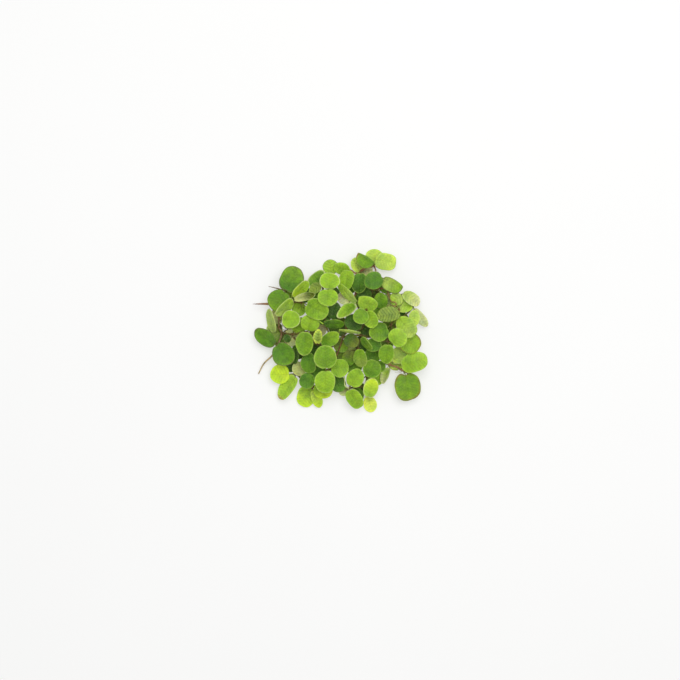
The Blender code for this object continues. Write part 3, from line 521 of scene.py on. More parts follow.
# Blades that aren't plain ellipses: the shares of the width left and right of the midrib, the corner's
# power and the depth of the notch at the stalk; the rest take the first row.
SHAPES = {"": (1.0, 1.0, 2.0, 0.09), "north_leaf_2": (1.0, 0.22, 2.2, 0.05),
          "north_inner_leaf_2": (0.5, 1.0, 2.5, 0.05), "north_leaf_1": (0.94, 1.0, 2.6, 0.05),
          "southeast_leaf_2": (0.78, 1.0, 2.3, 0.05), "southwest_leaf_2": (0.9, 1.0, 2.5, 0.06),
          "northwest_leaf_1": (1.0, 1.0, 2.2, 0.12), "crown_right_leaf_5": (0.8, 1.0, 2.0, 0.06),
          "west_leaf_1": (0.94, 1.0, 2.2, 0.09), "south_leaf_2": (0.95, 1.0, 2.1, 0.12),
          "southwest_leaf_3": (1.0, 1.0, 2.3, 0.09), "southeast_leaf_1": (1.0, 0.96, 2.3, 0.22),
          "west_leaf_5": (0.9, 1.0, 2.0, 0.07), "south_outer_leaf_2": (1.0, 0.86, 2.3, 0.09),
          "crown_left_leaf_1": (1.0, 0.95, 2.1, 0.12), "east_leaf_4": (1.0, 0.94, 2.2, 0.10)}


def linear(name):
    """A named colour as linear light: the sRGB curve undone."""
    value = np.array(COLOURS[name]) / 255.0
    return np.where(value <= 0.04045, value / 12.92, ((value + 0.055) / 1.055) ** 2.4)


def smooth(low, high, value):
    """0 below low, 1 above high, and an S curve between."""
    t = np.clip((value - low) / (high - low), 0.0, 1.0)
    return t * t * (3.0 - 2.0 * t)


def unit(vectors):
    """Vectors divided by their lengths."""
    return vectors / np.maximum(np.linalg.norm(vectors, axis=-1, keepdims=True), 1e-12)


def turn_matrix(turn):
    """Turn to the heading about Z, after the tip is lifted by the pitch and the left side by the roll."""
    heading, pitch, roll = np.radians(turn)
    about_z = np.array([
        [math.cos(heading), -math.sin(heading), 0], [math.sin(heading), math.cos(heading), 0], [0, 0, 1]])
    about_y = np.array([
        [math.cos(pitch), 0, -math.sin(pitch)], [0, 1, 0], [math.sin(pitch), 0, math.cos(pitch)]])
    about_x = np.array([
        [1, 0, 0], [0, math.cos(roll), -math.sin(roll)], [0, math.sin(roll), math.cos(roll)]])
    return about_z @ about_y @ about_x


def closed_faces(rows, columns):
    """Faces of a closed surface: a pole, rings of equally many points, and a second pole."""
    row, column = np.meshgrid(np.arange(rows - 1), np.arange(columns), indexing="ij")
    after = (column + 1) % columns
    quads = np.stack([row * columns + column, (row + 1) * columns + column,
                      (row + 1) * columns + after, row * columns + after], axis=-1).reshape(-1, 4) + 1
    ring = np.arange(columns)
    after = (ring + 1) % columns
    first = np.stack([np.zeros_like(ring), ring + 1, after + 1], axis=-1)
    last_ring = (rows - 1) * columns + 1
    last = np.stack([np.full_like(ring, rows * columns + 1), last_ring + after, last_ring + ring], axis=-1)
    return quads, np.concatenate([first, last])


def shell(points, faces, tint, finish, uv=None, vein=0.0):
    """One closed surface, or several alike, with a colour and a place on the blade for each point."""
    count = len(points)
    return {
        "points": points,
        "faces": faces,
        "tint": np.broadcast_to(tint, (count, 3)),
        "finish": finish,
        "uv": np.zeros((count, 2)) if uv is None else uv,
        "vein": np.full(count, vein),
    }


def make_piece(name, shells, replaced):
    """One mesh from closed shells, as an object that rides on the plant's body."""
    finishes = sorted({part["finish"] for part in shells})
    corners, sizes, kinds = [], [], []
    offset = 0
    for part in shells:
        for faces in part["faces"]:
            corners.append((faces + offset).ravel())
            sizes.append(np.full(len(faces), faces.shape[1]))
            kinds.append(np.full(len(faces), finishes.index(part["finish"])))
        offset += len(part["points"])
    corners = np.concatenate(corners)
    sizes = np.concatenate(sizes)
    points = (np.concatenate([part["points"] for part in shells]) - CLUMP_MIDDLE) * MM
    mesh = bpy.data.meshes.new(name)
    mesh.vertices.add(len(points))
    mesh.vertices.foreach_set("co", points.ravel())
    mesh.loops.add(len(corners))
    mesh.loops.foreach_set("vertex_index", corners)
    mesh.polygons.add(len(sizes))
    mesh.polygons.foreach_set("loop_start", np.cumsum(sizes) - sizes)
    mesh.polygons.foreach_set("material_index", np.concatenate(kinds))
    mesh.update(calc_edges=True)
    mesh.shade_smooth()
    uv = np.concatenate([part["uv"] for part in shells])
    mesh.uv_layers.new(name="blade").data.foreach_set("uv", uv[corners].ravel())
    tint = np.concatenate([part["tint"] for part in shells])
    layer = mesh.attributes.new("tint", "FLOAT_COLOR", "POINT")
    layer.data.foreach_set("color", np.column_stack([tint, np.ones(len(tint))]).ravel())
    vein = mesh.attributes.new("vein", "FLOAT", "POINT")
    vein.data.foreach_set("value", np.concatenate([part["vein"] for part in shells]))
    for finish in finishes:
        mesh.materials.append(MATERIALS[finish])
    piece = bpy.data.objects.new(name, mesh)
    bpy.context.scene.collection.objects.link(piece)
    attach(piece, "root")
    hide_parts(replaced)


def leaf_named(name):
    """Everything that the surfaces of one leaf are worked out from. Its seed, which sets its waves and
    blotches, is a weighted sum of the letters of its name."""
    seed = 0.37 * sum((place + 3) * ord(letter) for place, letter in enumerate(name))
    row = LEAVES.get(name) or SMALL_LEAVES[name]
    centre, turn, (length, width), fold, droop, colours = row
    body, tip, rim = colours.split()
    left, right, corner, notch = SHAPES.get(name, SHAPES[""])
    return {
        "seed": seed, "centre": np.array(centre), "turn": turn_matrix(turn), "length": length,
        "width": width, "fold": math.radians(fold), "droop": droop, "body": body, "tip": tip, "rim": rim,
        "vein": VEIN_AND_STREAK_LEVELS.get(name, VEIN_AND_STREAK_LEVELS[""]), "rim_width": RIM_AND_HIGHLIGHT_WIDTHS.get(name, RIM_AND_HIGHLIGHT_WIDTHS[""]),
        "left": left, "right": right, "corner": corner, "notch": notch, "brown": name in BROWN_TIPS,
    }


def outline(leaf, angle):
    """Share of the ellipse's radius at an angle from the tip: the sum of the cosine's and the sine's size,
    each to the corner's power, to minus one over that power, which is an ellipse at 2 and squarer above it.
    A bell-shaped notch at the stalk is taken off, and a slight wobble of three sines is added."""
    power, seed = leaf["corner"], leaf["seed"]
    square = (np.abs(np.cos(angle)) ** power + np.abs(np.sin(angle)) ** power) ** (-1.0 / power)
    away = np.abs(np.mod(angle, 2.0 * np.pi) - np.pi)
    notch = leaf["notch"] * np.exp(-(away / NOTCH_WIDTH) ** 2)
    wobble = OUTLINE_WOBBLE * (np.sin(3.0 * angle + seed) + 0.6 * np.sin(5.0 * angle + 2.3 * seed)
                               + 0.2 * np.sin(11.0 * angle + 1.7 * seed))
    return square - notch + wobble


def half_width(leaf, side):
    """Half of the blade's width on the left of the midrib, where the side is above 0, or on its right."""
    return leaf["width"] / 2.0 * np.where(side > 0.0, leaf["left"], leaf["right"])


def blade_surface(leaf, x, y):
    """Points of the upper face over flat places. The height is the distance from the midrib times the sine
    of the fold, less the droop times the square of the share of the length, plus two waves round the blade
    that grow towards its edge, plus a dome or cup by the fourth power of the radius, less a bell-shaped
    groove along the midrib. The whole is turned and moved to the leaf's place."""
    along = 2.0 * x / leaf["length"]
    across = 2.0 * y / leaf["width"]
    rise = np.abs(y) * math.sin(leaf["fold"]) - leaf["droop"] * along ** 2
    far = along ** 2 + across ** 2
    around = np.arctan2(across, along)
    wave = FACE_WAVE * far * (
        np.sin(2.0 * around + leaf["seed"]) + 0.6 * far * np.sin(5.0 * around + 2.0 * leaf["seed"]))
    rise = rise + CUP * math.sin(1.9 * leaf["seed"]) * far ** 2
    groove = -GROOVE_DEPTH * np.exp(-(y / GROOVE_WIDTH) ** 2)
    flat = np.stack([x, y * math.cos(leaf["fold"]), rise + wave + groove], axis=-1)
    return leaf["centre"] + flat @ leaf["turn"].T


def blade_colour(leaf, x, y, out, under):
    """Colour over the blade: the stalk's half passes into the tip's half, darker along the midrib and paler
    towards the edge, a painted glow as of light through it, with broad yellower and bluer blotches and a
    thin uneven rim, the edge's own colour where it is brown and partly a painted highlight where it is
    pale. Some tips are brown, and the underside is washed out."""
    share = smooth(-0.7, 0.8, 2.0 * x / leaf["length"])[..., None]
    colour = BRIGHTNESS * (linear(leaf["body"]) * (1.0 - share) + linear(leaf["tip"]) * share)
    middle = np.exp(-(y / (0.16 * leaf["width"])) ** 2) * (1.0 - 0.5 * share[..., 0])
    colour = colour * (1.0 - DARK_MIDDLE * middle[..., None])
    # Painted light: the blade is made paler towards its edge, a glow as of light passing through the thin
    # edge.
    edge = (smooth(0.72, 0.93, out) * PAINTED_EDGE_GLOW)[..., None]
    colour = colour * (1.0 + edge)
    seed = leaf["seed"]
    blotch = np.sin(1.05 * x + 0.4 * y + seed) * np.cos(0.9 * y - 0.35 * x + 2.0 * seed) + 0.7 * np.sin(
        0.42 * x * math.cos(seed) + 0.5 * y * math.sin(seed) + 3.0 * seed)
    colour = colour * (1.0 + BLOTCH * blotch[..., None] * BLOTCH_TINT)
    # The rim: brown rims are the edge's own colour, pale and cream rims are partly a painted highlight,
    # uneven round the blade.
    uneven = 0.72 + 0.22 * np.sin(2.0 * np.arctan2(y, x) + 1.3 * seed)
    rim = leaf["rim_width"]
    rim_and_highlight_share = (smooth(1.0 - 1.6 * rim, 1.0 - 0.4 * rim, out) * uneven)[..., None]
    colour = colour * (1.0 - rim_and_highlight_share) + linear(leaf["rim"]) * rim_and_highlight_share
    if leaf["brown"]:
        scorch = (smooth(0.37, 0.48, x / leaf["length"]) * SCORCH)[..., None]
        colour = colour * (1.0 - scorch) + linear("russet") * scorch
    under = WASHED_OUT * under[..., None]
    return colour * (1.0 - under) + linear("under") * under


def blade_shell(leaf, columns):
    """Closed blade on rings of a polar grid: rings run out over the upper face, round the edge and back in
    under it. A point's radius is its ring's share of the outline, the underside lies the thickness below
    the upper face, with a rib under the midrib, and the edge is rounded off by a quarter circle."""
    length = leaf["length"]
    out = np.concatenate([TOP_ROWS, [1.0], UNDER_ROWS])
    under = np.concatenate([np.zeros(len(TOP_ROWS)), [0.5], np.ones(len(UNDER_ROWS))])
    angle = 2.0 * np.pi * np.arange(columns) / columns
    reach = out[:, None] * outline(leaf, angle)[None, :]
    x = reach * length / 2.0 * np.cos(angle)
    y = reach * half_width(leaf, np.sin(angle)) * np.sin(angle)
    thickness = BLADE_THICKNESS - (BLADE_THICKNESS - EDGE_THICKNESS) * out ** 3
    rounding = 1.0 - np.sqrt(1.0 - np.clip((out - EDGE_START) / EDGE_SPAN, 0.0, 1.0) ** 2)
    depth = np.where(under == 0.5, thickness / 2.0,
                     np.where(under > 0.5, thickness * (1.0 - rounding / 2.0), thickness * rounding / 2.0))
    rib = RIB_HEIGHT * np.exp(-(y / RIB_WIDTH) ** 2) * (under[:, None] > 0.5) * (x < length * 0.36)
    down = leaf["turn"][:, 2]
    points = blade_surface(leaf, x, y) - (depth[:, None] + rib)[..., None] * down
    poles = blade_surface(leaf, np.zeros(2), np.zeros(2))
    poles[1] -= (BLADE_THICKNESS + RIB_HEIGHT) * down
    flat_x = np.concatenate([[0.0], x.ravel(), [0.0]])
    flat_y = np.concatenate([[0.0], y.ravel(), [0.0]])
    flat_under = np.concatenate([[0.0], np.repeat(under, columns), [1.0]])
    flat_out = np.concatenate([[0.0], np.repeat(out, columns), [0.0]])
    return shell(
        np.concatenate([poles[:1], points.reshape(-1, 3), poles[1:]]),
        closed_faces(len(out), columns),
        blade_colour(leaf, flat_x, flat_y, flat_out, flat_under),
        FINISH_OF[leaf["body"]],
        np.column_stack([flat_x, flat_y]) / UV_SPAN + 0.5,
        leaf["vein"],
    )


def tubes(paths, radii, sides):
    """Closed tubes along paths of equally many points, with a radius at every point. Each ring lies across
    the path; its first axis is at right angles to the direction in which that path bends least."""
    ahead = unit(np.gradient(paths, axis=1))
    steady = np.linalg.svd(ahead, full_matrices=False)[2][:, -1]
    across = unit(np.cross(ahead, steady[:, None, :]))
    above = np.cross(ahead, across)
    angle = 2.0 * np.pi * np.arange(sides) / sides
    spokes = np.cos(angle)[:, None] * across[:, :, None, :] - np.sin(angle)[:, None] * above[:, :, None, :]
    rings = paths[:, :, None, :] + radii[:, :, None, None] * spokes
    first = paths[:, :1] - ahead[:, :1] * radii[:, :1, None] * END_CAP
    last = paths[:, -1:] + ahead[:, -1:] * radii[:, -1:, None] * END_CAP
    count, steps = paths.shape[:2]
    points = np.concatenate([first, rings.reshape(count, -1, 3), last], axis=1)
    quads, caps = closed_faces(steps, sides)
    shift = (np.arange(count) * points.shape[1])[:, None, None]
    return points.reshape(-1, 3), [(quads + shift).reshape(-1, 4), (caps + shift).reshape(-1, 3)]


def spikes(roots, ahead, lengths, radii):
    """Closed thin hairs: three points round the root at the radius, and one at the root plus the length
    times the direction."""
    side = unit(np.cross(ahead, np.where(np.abs(ahead[:, 2:]) > 0.8, [1.0, 0.0, 0.0], [0.0, 0.0, 1.0])))
    other = np.cross(ahead, side)
    angle = 2.0 * np.pi * np.arange(3) / 3.0
    foot = np.cos(angle)[:, None] * side[:, None, :] + np.sin(angle)[:, None] * other[:, None, :]
    foot = roots[:, None, :] + foot * radii[:, None, None]
    tip = roots[:, None, :] + (ahead * lengths[:, None])[:, None, :]
    points = np.concatenate([foot, tip], axis=1).reshape(-1, 3)
    pattern = np.array([[0, 1, 3], [1, 2, 3], [2, 0, 3], [0, 2, 1]])
    return points, [(pattern + 4 * np.arange(len(roots))[:, None, None]).reshape(-1, 3)]


def smooth_path(points, step):
    """Points at about equal steps along a Catmull-Rom curve through the given points."""
    points = np.asarray(points, float)
    ends = np.concatenate([2 * points[:1] - points[1:2], points, 2 * points[-1:] - points[-2:-1]])
    runs = []
    for before, first, second, after in zip(ends, ends[1:], ends[2:], ends[3:]):
        count = max(2, round(float(np.linalg.norm(second - first)) / step))
        t = (np.arange(count) / count)[:, None]
        runs.append(0.5 * (2 * first + (second - before) * t
                           + (2 * before - 5 * first + 4 * second - after) * t ** 2
                           + (3 * first - before - 3 * second + after) * t ** 3))
    runs.append(points[-1:])
    return np.concatenate(runs)


def strand_shell(line, radii, share, first, last):
    """Closed tube along a line. Its colour passes from the first to the last by the share of its length."""
    points, faces = tubes(line[None], radii[None], ROOT_SIDES)
    share = np.concatenate([[0.0], np.repeat(share, ROOT_SIDES), [1.0]])[:, None]
    return shell(points, faces, first * (1.0 - share) + last * share, "stem")


def stem_shells(name, paths, chance):
    """Stem tubes along smooth paths. The radius swells at each node by a bell of the distance to it; the
    colour is brown there and greener between, and short hairs stand all over."""
    made = []
    thick, brown, green_colour = STEM_LOOKS.get(name, STEM_LOOKS[""])
    for path in paths:
        nodes = np.array([entry[0] for entry in path])
        line = smooth_path(nodes, PATH_STEP)
        near = np.linalg.norm(line[:, None, :] - nodes[None, :, :], axis=-1).min(axis=1)
        knot = np.exp(-(near / KNOT_SPREAD) ** 2)
        radii = thick + KNOT_RADIUS * knot
        radii[[0, -1]] *= STEM_END
        points, faces = tubes(line[None], radii[None], STEM_SIDES)
        green = np.repeat(0.55 * (1.0 - knot), STEM_SIDES)[:, None]
        tint = linear(brown) * (1.0 - green) + linear(green_colour) * green
        tint = np.concatenate([tint[:1], tint, tint[-1:]])
        made.append(shell(points, faces, tint, "stem"))
        made.append(path_hairs(line, radii, chance, STEM_HAIRS_PER_MM, STEM_HAIR_LENGTH))
    return made


def path_hairs(line, radii, chance, per_mm, length):
    """Hairs that stand off a path all round, leaning towards its end."""
    ahead = unit(np.gradient(line, axis=0))
    count = int(len(line) * PATH_STEP * per_mm)
    place = chance.integers(0, len(line), count)
    out = unit(np.cross(ahead[place], chance.normal(size=(count, 3))))
    roots = line[place] + out * radii[place, None] * 0.8
    roots += ahead[place] * chance.uniform(-0.5, 0.5, (count, 1)) * PATH_STEP
    lean = unit(out + ahead[place] * chance.uniform(-0.2, 0.8, (count, 1)))
    lengths = length * chance.uniform(0.4, 1.0, count)
    points, faces = spikes(roots, lean, lengths, np.full(count, STEM_HAIR_RADIUS))
    return shell(points, faces, linear("tan"), "hair")


def root_shells(name, paths, chance):
    """The stem's thicker roots: strands that taper by a power of the share of their length, with hairs."""
    made = []
    for place, (thick, first), (thin, last), *points in ROOTS.get(name, []):
        line = smooth_path([paths[0][place][0], *points], PATH_STEP)
        share = np.linspace(0.0, 1.0, len(line))
        radii = thick + (thin - thick) * share ** ROOT_TAPER_POWER
        made.append(strand_shell(line, radii, share, linear(first), linear(last)))
        made.append(path_hairs(line, radii, chance, ROOT_HAIRS_PER_MM, ROOT_HAIR_LENGTH))
    return made


def runner_shells(name):
    """The stem's runners: even strands that pass from one radius and colour to another."""
    made = []
    for thick, thin, first, last, *points in RUNNERS.get(name, []):
        line = smooth_path(points, RUNNER_STEP)
        share = np.linspace(0.0, 1.0, len(line))
        made.append(strand_shell(line, thick + (thin - thick) * share, share, linear(first), linear(last)))
    return made


def thread_shells(paths, chance):
    """Fine root threads under every node: each leaves the node towards the clump's middle, sinks, and runs
    out along the ground, swaying by a sine."""
    nodes = np.array([entry[0] for path in paths for entry in path if len(entry) > 1])
    starts = np.repeat(nodes, THREADS_PER_NODE, axis=0)
    count = len(starts)
    inward = np.arctan2(CLUMP_MIDDLE[1] - starts[:, 1], CLUMP_MIDDLE[0] - starts[:, 0])
    heading = inward + chance.normal(0.0, 0.9, count)
    length = chance.uniform(3.5, 8.0, count)
    share = np.linspace(0.0, 1.0, THREAD_POINTS)
    run = length[:, None] * share * (0.45 + 0.35 * share)
    sway = 0.25 * length[:, None] * np.sin(2.6 * share + chance.uniform(0, 6, (count, 1))) * share
    across = heading + np.pi / 2
    fall = starts[:, 2:] - (0.9 * length[:, None]) * share * (1.35 - 0.35 * share)
    lowest = 0.15 + 0.4 * chance.uniform(0, 1, (count, 1))
    path = np.stack([
        starts[:, :1] + np.cos(heading)[:, None] * run + np.cos(across)[:, None] * sway,
        starts[:, 1:2] + np.sin(heading)[:, None] * run + np.sin(across)[:, None] * sway,
        np.maximum(fall, lowest),
    ], axis=-1)
    radii = np.broadcast_to(THREAD_RADIUS - THREAD_TAPER * share, (count, THREAD_POINTS))
    points, faces = tubes(path, radii, THREAD_SIDES)
    per_thread = len(points) // count
    blend = np.repeat(chance.uniform(0.0, 1.0, count), per_thread)[:, None]
    return [shell(points, faces, linear("bark") * blend + linear("tan") * (1.0 - blend), "stem")]


def stalk_shell(leaf, node):
    """Stalk from the middle of its node to inside the blade's notch, curved where it meets the blade."""
    length = leaf["length"]
    seat, way_in = blade_surface(leaf, np.array([SEAT_PLACE, ENTRY_PLACE]) * length, np.zeros(2))
    down = leaf["turn"][:, 2]
    seat = seat - SEAT_DEPTH * down
    way_in = way_in - ENTRY_DEPTH * down
    foot = np.array(node)
    middle = foot * 0.45 + way_in * 0.55 - 0.1 * down
    line = smooth_path([foot, middle, way_in, seat], STALK_STEP)
    share = np.linspace(0.0, 1.0, len(line))
    radii = STALK_RADIUS - STALK_TAPER * share ** 2
    return strand_shell(line, radii, share, linear("bark"), linear(leaf["body"]))


def leaf_hairs(leaf, chance):
    """Upper hairs: tufts of four that stand in rows along the side veins and between them."""
    length, width = leaf["length"], leaf["width"]
    rows, places = np.meshgrid(
        np.arange(-length, length, VEIN_PITCH / 2), np.arange(-width / 2, width / 2, TUFT_PITCH))
    y = places.ravel()
    x = rows.ravel() + VEIN_SLANT * np.abs(y)
    x = x + chance.normal(0.0, TUFT_SHIFT, x.shape)
    y = y + chance.normal(0.0, TUFT_SHIFT, y.shape)
    across = y / half_width(leaf, y)
    out = np.hypot(2 * x / length, across) / outline(leaf, np.arctan2(across, 2 * x / length))
    keep = (out < 0.9) & (np.abs(y) > 0.3)
    x, y = x[keep], y[keep]
    roots = blade_surface(leaf, x, y)
    nudge = 0.05
    along = blade_surface(leaf, x + nudge, y) - roots
    across = blade_surface(leaf, x, y + nudge) - roots
    normal = unit(np.cross(along, across))
    along, across = unit(along), unit(across)
    angle = (np.pi / 4 + np.pi / 2 * np.arange(4))[:, None, None]
    lean = unit(normal + TUFT_LEAN * (np.cos(angle) * along + np.sin(angle) * across))
    roots = np.broadcast_to(roots - 0.04 * normal, lean.shape).reshape(-1, 3)
    lean = lean.reshape(-1, 3)
    lengths = LEAF_HAIR_LENGTH * chance.uniform(0.65, 1.1, len(lean))
    points, faces = spikes(roots, lean, lengths, np.full(len(lean), LEAF_HAIR_RADIUS))
    return shell(points, faces, linear("down"), "hair")


class Shading:
    """Short ways to add and join the nodes of one material."""

    def __init__(self, name):
        self.material = bpy.data.materials.new(name)
        self.material.use_nodes = True
        self.tree = self.material.node_tree
        self.shader = self.tree.nodes["Principled BSDF"]

    def node(self, kind, inputs=None, **settings):
        node = self.tree.nodes.new(kind)
        for key, value in settings.items():
            setattr(node, key, value)
        for key, value in (inputs or {}).items():
            self.set(node.inputs[key], value)
        return node

    def set(self, socket, value):
        if isinstance(value, bpy.types.NodeSocket):
            self.tree.links.new(value, socket)
        else:
            socket.default_value = value

    def attribute(self, name, output):
        return self.node("ShaderNodeAttribute", attribute_name=name).outputs[output]

    def place(self):
        return self.node("ShaderNodeTexCoord").outputs["Object"]

    def math(self, operation, *values):
        node = self.node("ShaderNodeMath", operation=operation)
        for socket, value in zip(node.inputs, values):
            self.set(socket, value)
        return node.outputs[0]

    def ramp(self, value, low, high, first, second):
        sockets = {"Value": value, "From Min": low, "From Max": high, "To Min": first, "To Max": second}
        return self.node("ShaderNodeMapRange", sockets, interpolation_type="SMOOTHSTEP").outputs["Result"]

    def mix(self, kind, share, first, second):
        node = self.node("ShaderNodeMix", data_type="RGBA", blend_type=kind)
        for key, value in (("Factor_Float", share), ("A_Color", first), ("B_Color", second)):
            socket = next(entry for entry in node.inputs if entry.identifier == key)
            self.set(socket, value)
        return next(entry for entry in node.outputs if entry.identifier == "Result_Color")

    def noise(self, place, scale, detail, roughness):
        sockets = {"Vector": place, "Scale": scale, "Detail": detail, "Roughness": roughness}
        return self.node("ShaderNodeTexNoise", sockets).outputs["Fac"]

    def darkened(self, tint, level):
        """The tint times a grey of this level."""
        grey = self.node("ShaderNodeCombineColor", {0: level, 1: level, 2: level}).outputs[0]
        return self.mix("MULTIPLY", 1.0, tint, grey)

    def bump(self, height):
        sockets = {"Strength": BUMP_STRENGTH, "Distance": BUMP_DISTANCE, "Height": height}
        self.set(self.shader.inputs["Normal"], self.node("ShaderNodeBump", sockets).outputs["Normal"])


def leaf_material(name, mottle, subsurface):
    """Leaf skin: the point colour, mottled, with side veins that waver, a finer net between them, a midrib
    and small bumps."""
    shade = Shading(name)
    place = shade.place()
    uv = shade.node("ShaderNodeUVMap", uv_map="blade").outputs["UV"]
    flat = shade.node("ShaderNodeSeparateXYZ", {0: uv})
    along = shade.math("MULTIPLY", shade.math("SUBTRACT", flat.outputs["X"], 0.5), UV_SPAN)
    across = shade.math("MULTIPLY", shade.math("SUBTRACT", flat.outputs["Y"], 0.5), UV_SPAN)
    side = shade.math("ABSOLUTE", across)
    broad = shade.noise(place, BROAD_PATCHES, 3.0, 0.55)
    fine = shade.noise(place, FINE_GRAINS, 3.0, 0.6)
    lane = shade.math("SUBTRACT", along, shade.math("MULTIPLY", side, VEIN_SLANT))
    lane = shade.math("ADD", lane, shade.math("MULTIPLY", broad, 1.1))
    vein = shade.ramp(shade.math("PINGPONG", lane, VEIN_PITCH / 2), 0.04, 0.30, 1.0, 0.0)
    vein = shade.math("MULTIPLY", vein, shade.ramp(fine, 0.25, 0.6, 0.45, 1.0))
    net = shade.ramp(shade.math("PINGPONG", lane, VEIN_PITCH / 8), 0.02, 0.12, 1.0, 0.0)
    midrib = shade.ramp(side, 0.08, 0.30, 1.0, 0.0)
    level = shade.ramp(broad, 0.32, 0.68, 1.0 - mottle, 1.0 + mottle)
    level = shade.math("MULTIPLY", level, shade.ramp(fine, 0.3, 0.7, 0.92, 1.08))
    # The blade's vein level darkens the vein lines where it is above 0; below 0 it lightens them into
    # painted highlight streaks.
    lines = shade.math("MULTIPLY", shade.math("MULTIPLY", vein, shade.attribute("vein", "Fac")), 0.5)
    lines = shade.math("ADD", lines, shade.math("MULTIPLY", net, 0.04))
    lines = shade.math("ADD", lines, shade.math("MULTIPLY", midrib, 0.08))
    level = shade.math("MULTIPLY", level, shade.math("SUBTRACT", 1.0, lines))
    bumps = shade.node("ShaderNodeTexVoronoi", {"Vector": place, "Scale": SKIN_CELLS}, feature="SMOOTH_F1")
    height = shade.math("ADD", shade.math("MULTIPLY", fine, 0.5), shade.math("MULTIPLY", vein, -0.6))
    height = shade.math("ADD", height, shade.math("MULTIPLY", bumps.outputs["Distance"], -0.9))
    height = shade.math("ADD", height, shade.math("MULTIPLY", broad, 2.0))
    shade.set(shade.shader.inputs["Base Color"], shade.darkened(shade.attribute("tint", "Color"), level))
    shade.bump(height)
    shade.set(shade.shader.inputs["Roughness"], shade.ramp(broad, 0.3, 0.7, 0.46, 0.64))
    shade.shader.inputs["Sheen Weight"].default_value = 0.02
    shade.shader.inputs["Sheen Roughness"].default_value = 0.5
    shade.shader.inputs["Specular IOR Level"].default_value = 0.24
    shade.shader.inputs["Subsurface Weight"].default_value = subsurface
    shade.shader.inputs["Subsurface Radius"].default_value = (0.9, 1.0, 0.35)
    shade.shader.inputs["Subsurface Scale"].default_value = 0.0009
    return shade.material


def stem_material():
    """Woody stems and roots: the point colour with dark and light streaks and a rough skin."""
    shade = Shading("stem_skin")
    patches = shade.noise(shade.place(), BARK_PATCHES, 4.0, 0.6)
    level = shade.ramp(patches, 0.3, 0.7, 0.55, 1.35)
    shade.set(shade.shader.inputs["Base Color"], shade.darkened(shade.attribute("tint", "Color"), level))
    shade.bump(patches)
    shade.shader.inputs["Roughness"].default_value = 0.72
    return shade.material


def hair_material():
    """Short hairs in the point colour, smoother than the skin below them."""
    shade = Shading("hair_skin")
    shade.set(shade.shader.inputs["Base Color"], shade.attribute("tint", "Color"))
    shade.shader.inputs["Roughness"].default_value = 0.5
    return shade.material


def floor_material():
    """Pale surface, faintly uneven. Part of its brightness is its own, so the shadows on it stay faint."""
    shade = Shading("pale_surface")
    faint = shade.noise(shade.place(), 6.0, 2.0, 0.5)
    colour = shade.mix("MIX", faint, (0.51, 0.51, 0.508, 1.0), (0.53, 0.53, 0.528, 1.0))
    shade.set(shade.shader.inputs["Base Color"], colour)
    shade.shader.inputs["Emission Color"].default_value = (1.0, 1.0, 0.995, 1.0)
    shade.shader.inputs["Emission Strength"].default_value = 0.43
    shade.shader.inputs["Roughness"].default_value = 0.85
    shade.shader.inputs["Specular IOR Level"].default_value = 0.2
    return shade.material


MATERIALS = {
    "leaf_dark": leaf_material("leaf_dark_skin", 0.18, 0.20),
    "leaf_mid": leaf_material("leaf_mid_skin", 0.15, 0.25),
    "leaf_bright": leaf_material("leaf_bright_skin", 0.12, 0.30),
    "leaf_lime": leaf_material("leaf_lime_skin", 0.10, 0.35),
    "leaf_pale": leaf_material("leaf_pale_skin", 0.13, 0.25),
    "stem": stem_material(),
    "hair": hair_material(),
}


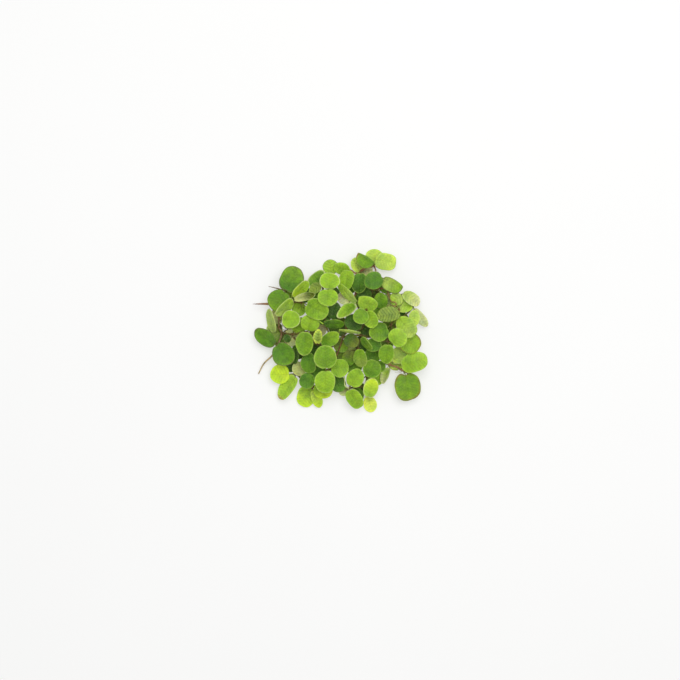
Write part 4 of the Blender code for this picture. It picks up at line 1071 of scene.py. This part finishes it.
def build_plant():
    """Every stem with its leaves: one piece for each leaf that is a solid, one for the stem's tubes, roots
    and runners, one for its small leaves, one for its root threads and one for its leaves' hairs."""
    for stem, paths in STEMS.items():
        where = stem.replace("_stem", "")
        chance = np.random.default_rng(sum(ord(letter) for letter in stem))
        small, hairs = [], []
        for node, *names in (entry for path in paths for entry in path):
            for name in names:
                leaf = leaf_named(name)
                columns = LEAF_COLUMNS if name in LEAVES else SMALL_COLUMNS
                shells = [blade_shell(leaf, columns), stalk_shell(leaf, node)]
                hairs.append(leaf_hairs(leaf, chance))
                if name in LEAVES:
                    make_piece(name.replace("_leaf_", "_frond_"), shells, name)
                else:
                    small += shells
        woody = stem_shells(stem, paths, chance) + root_shells(stem, paths, chance) + runner_shells(stem)
        make_piece(f"{where}_rhizome", woody, stem)
        if small:
            make_piece(f"{where}_small_leaves", small, stem)
        if hairs:
            make_piece(f"{where}_leaf_hairs", hairs, stem)
        make_piece(f"{where}_root_threads", thread_shells(paths, chance), stem)


def build_floor():
    """The plain surface under the clump: one square at height 0."""
    mesh = bpy.data.meshes.new("pale_floor")
    half = 6.0
    corners = [(-half, -half, 0), (half, -half, 0), (half, half, 0), (-half, half, 0)]
    mesh.from_pydata(corners, [], [(0, 1, 2, 3)])
    mesh.materials.append(floor_material())
    floor = bpy.data.objects.new("pale_floor", mesh)
    bpy.context.scene.collection.objects.link(floor)


def light_scene():
    """A white surround and a broad soft light from above, a little towards the back."""
    world = bpy.data.worlds.new("soft_surround")
    world.use_nodes = True
    background = world.node_tree.nodes["Background"]
    background.inputs["Color"].default_value = (1.0, 1.0, 0.99, 1.0)
    background.inputs["Strength"].default_value = 0.55
    bpy.context.scene.world = world
    lamp = bpy.data.lights.new("soft_light", "AREA")
    lamp.shape = "DISK"
    lamp.size = 0.8
    lamp.energy = 5.2
    light = bpy.data.objects.new("soft_light", lamp)
    light.location = (0.11, 0.22, 0.88)
    light.rotation_euler = (math.radians(-12), math.radians(7), 0.0)
    bpy.context.scene.collection.objects.link(light)


def place_camera():
    """Straight above the clump, at the photo's distance and framing."""
    lens = bpy.data.cameras.new("overhead_camera")
    lens.sensor_width = 36.0
    lens.lens = 84.7
    lens.clip_start = 0.01
    lens.clip_end = 5.0
    camera = bpy.data.objects.new("overhead_camera", lens)
    camera.location = (-0.00074, -0.00459, 0.8)
    bpy.context.scene.collection.objects.link(camera)
    bpy.context.scene.camera = camera


build_plant()
build_floor()
light_scene()
place_camera()
bpy.context.scene.view_settings.view_transform = "Standard"
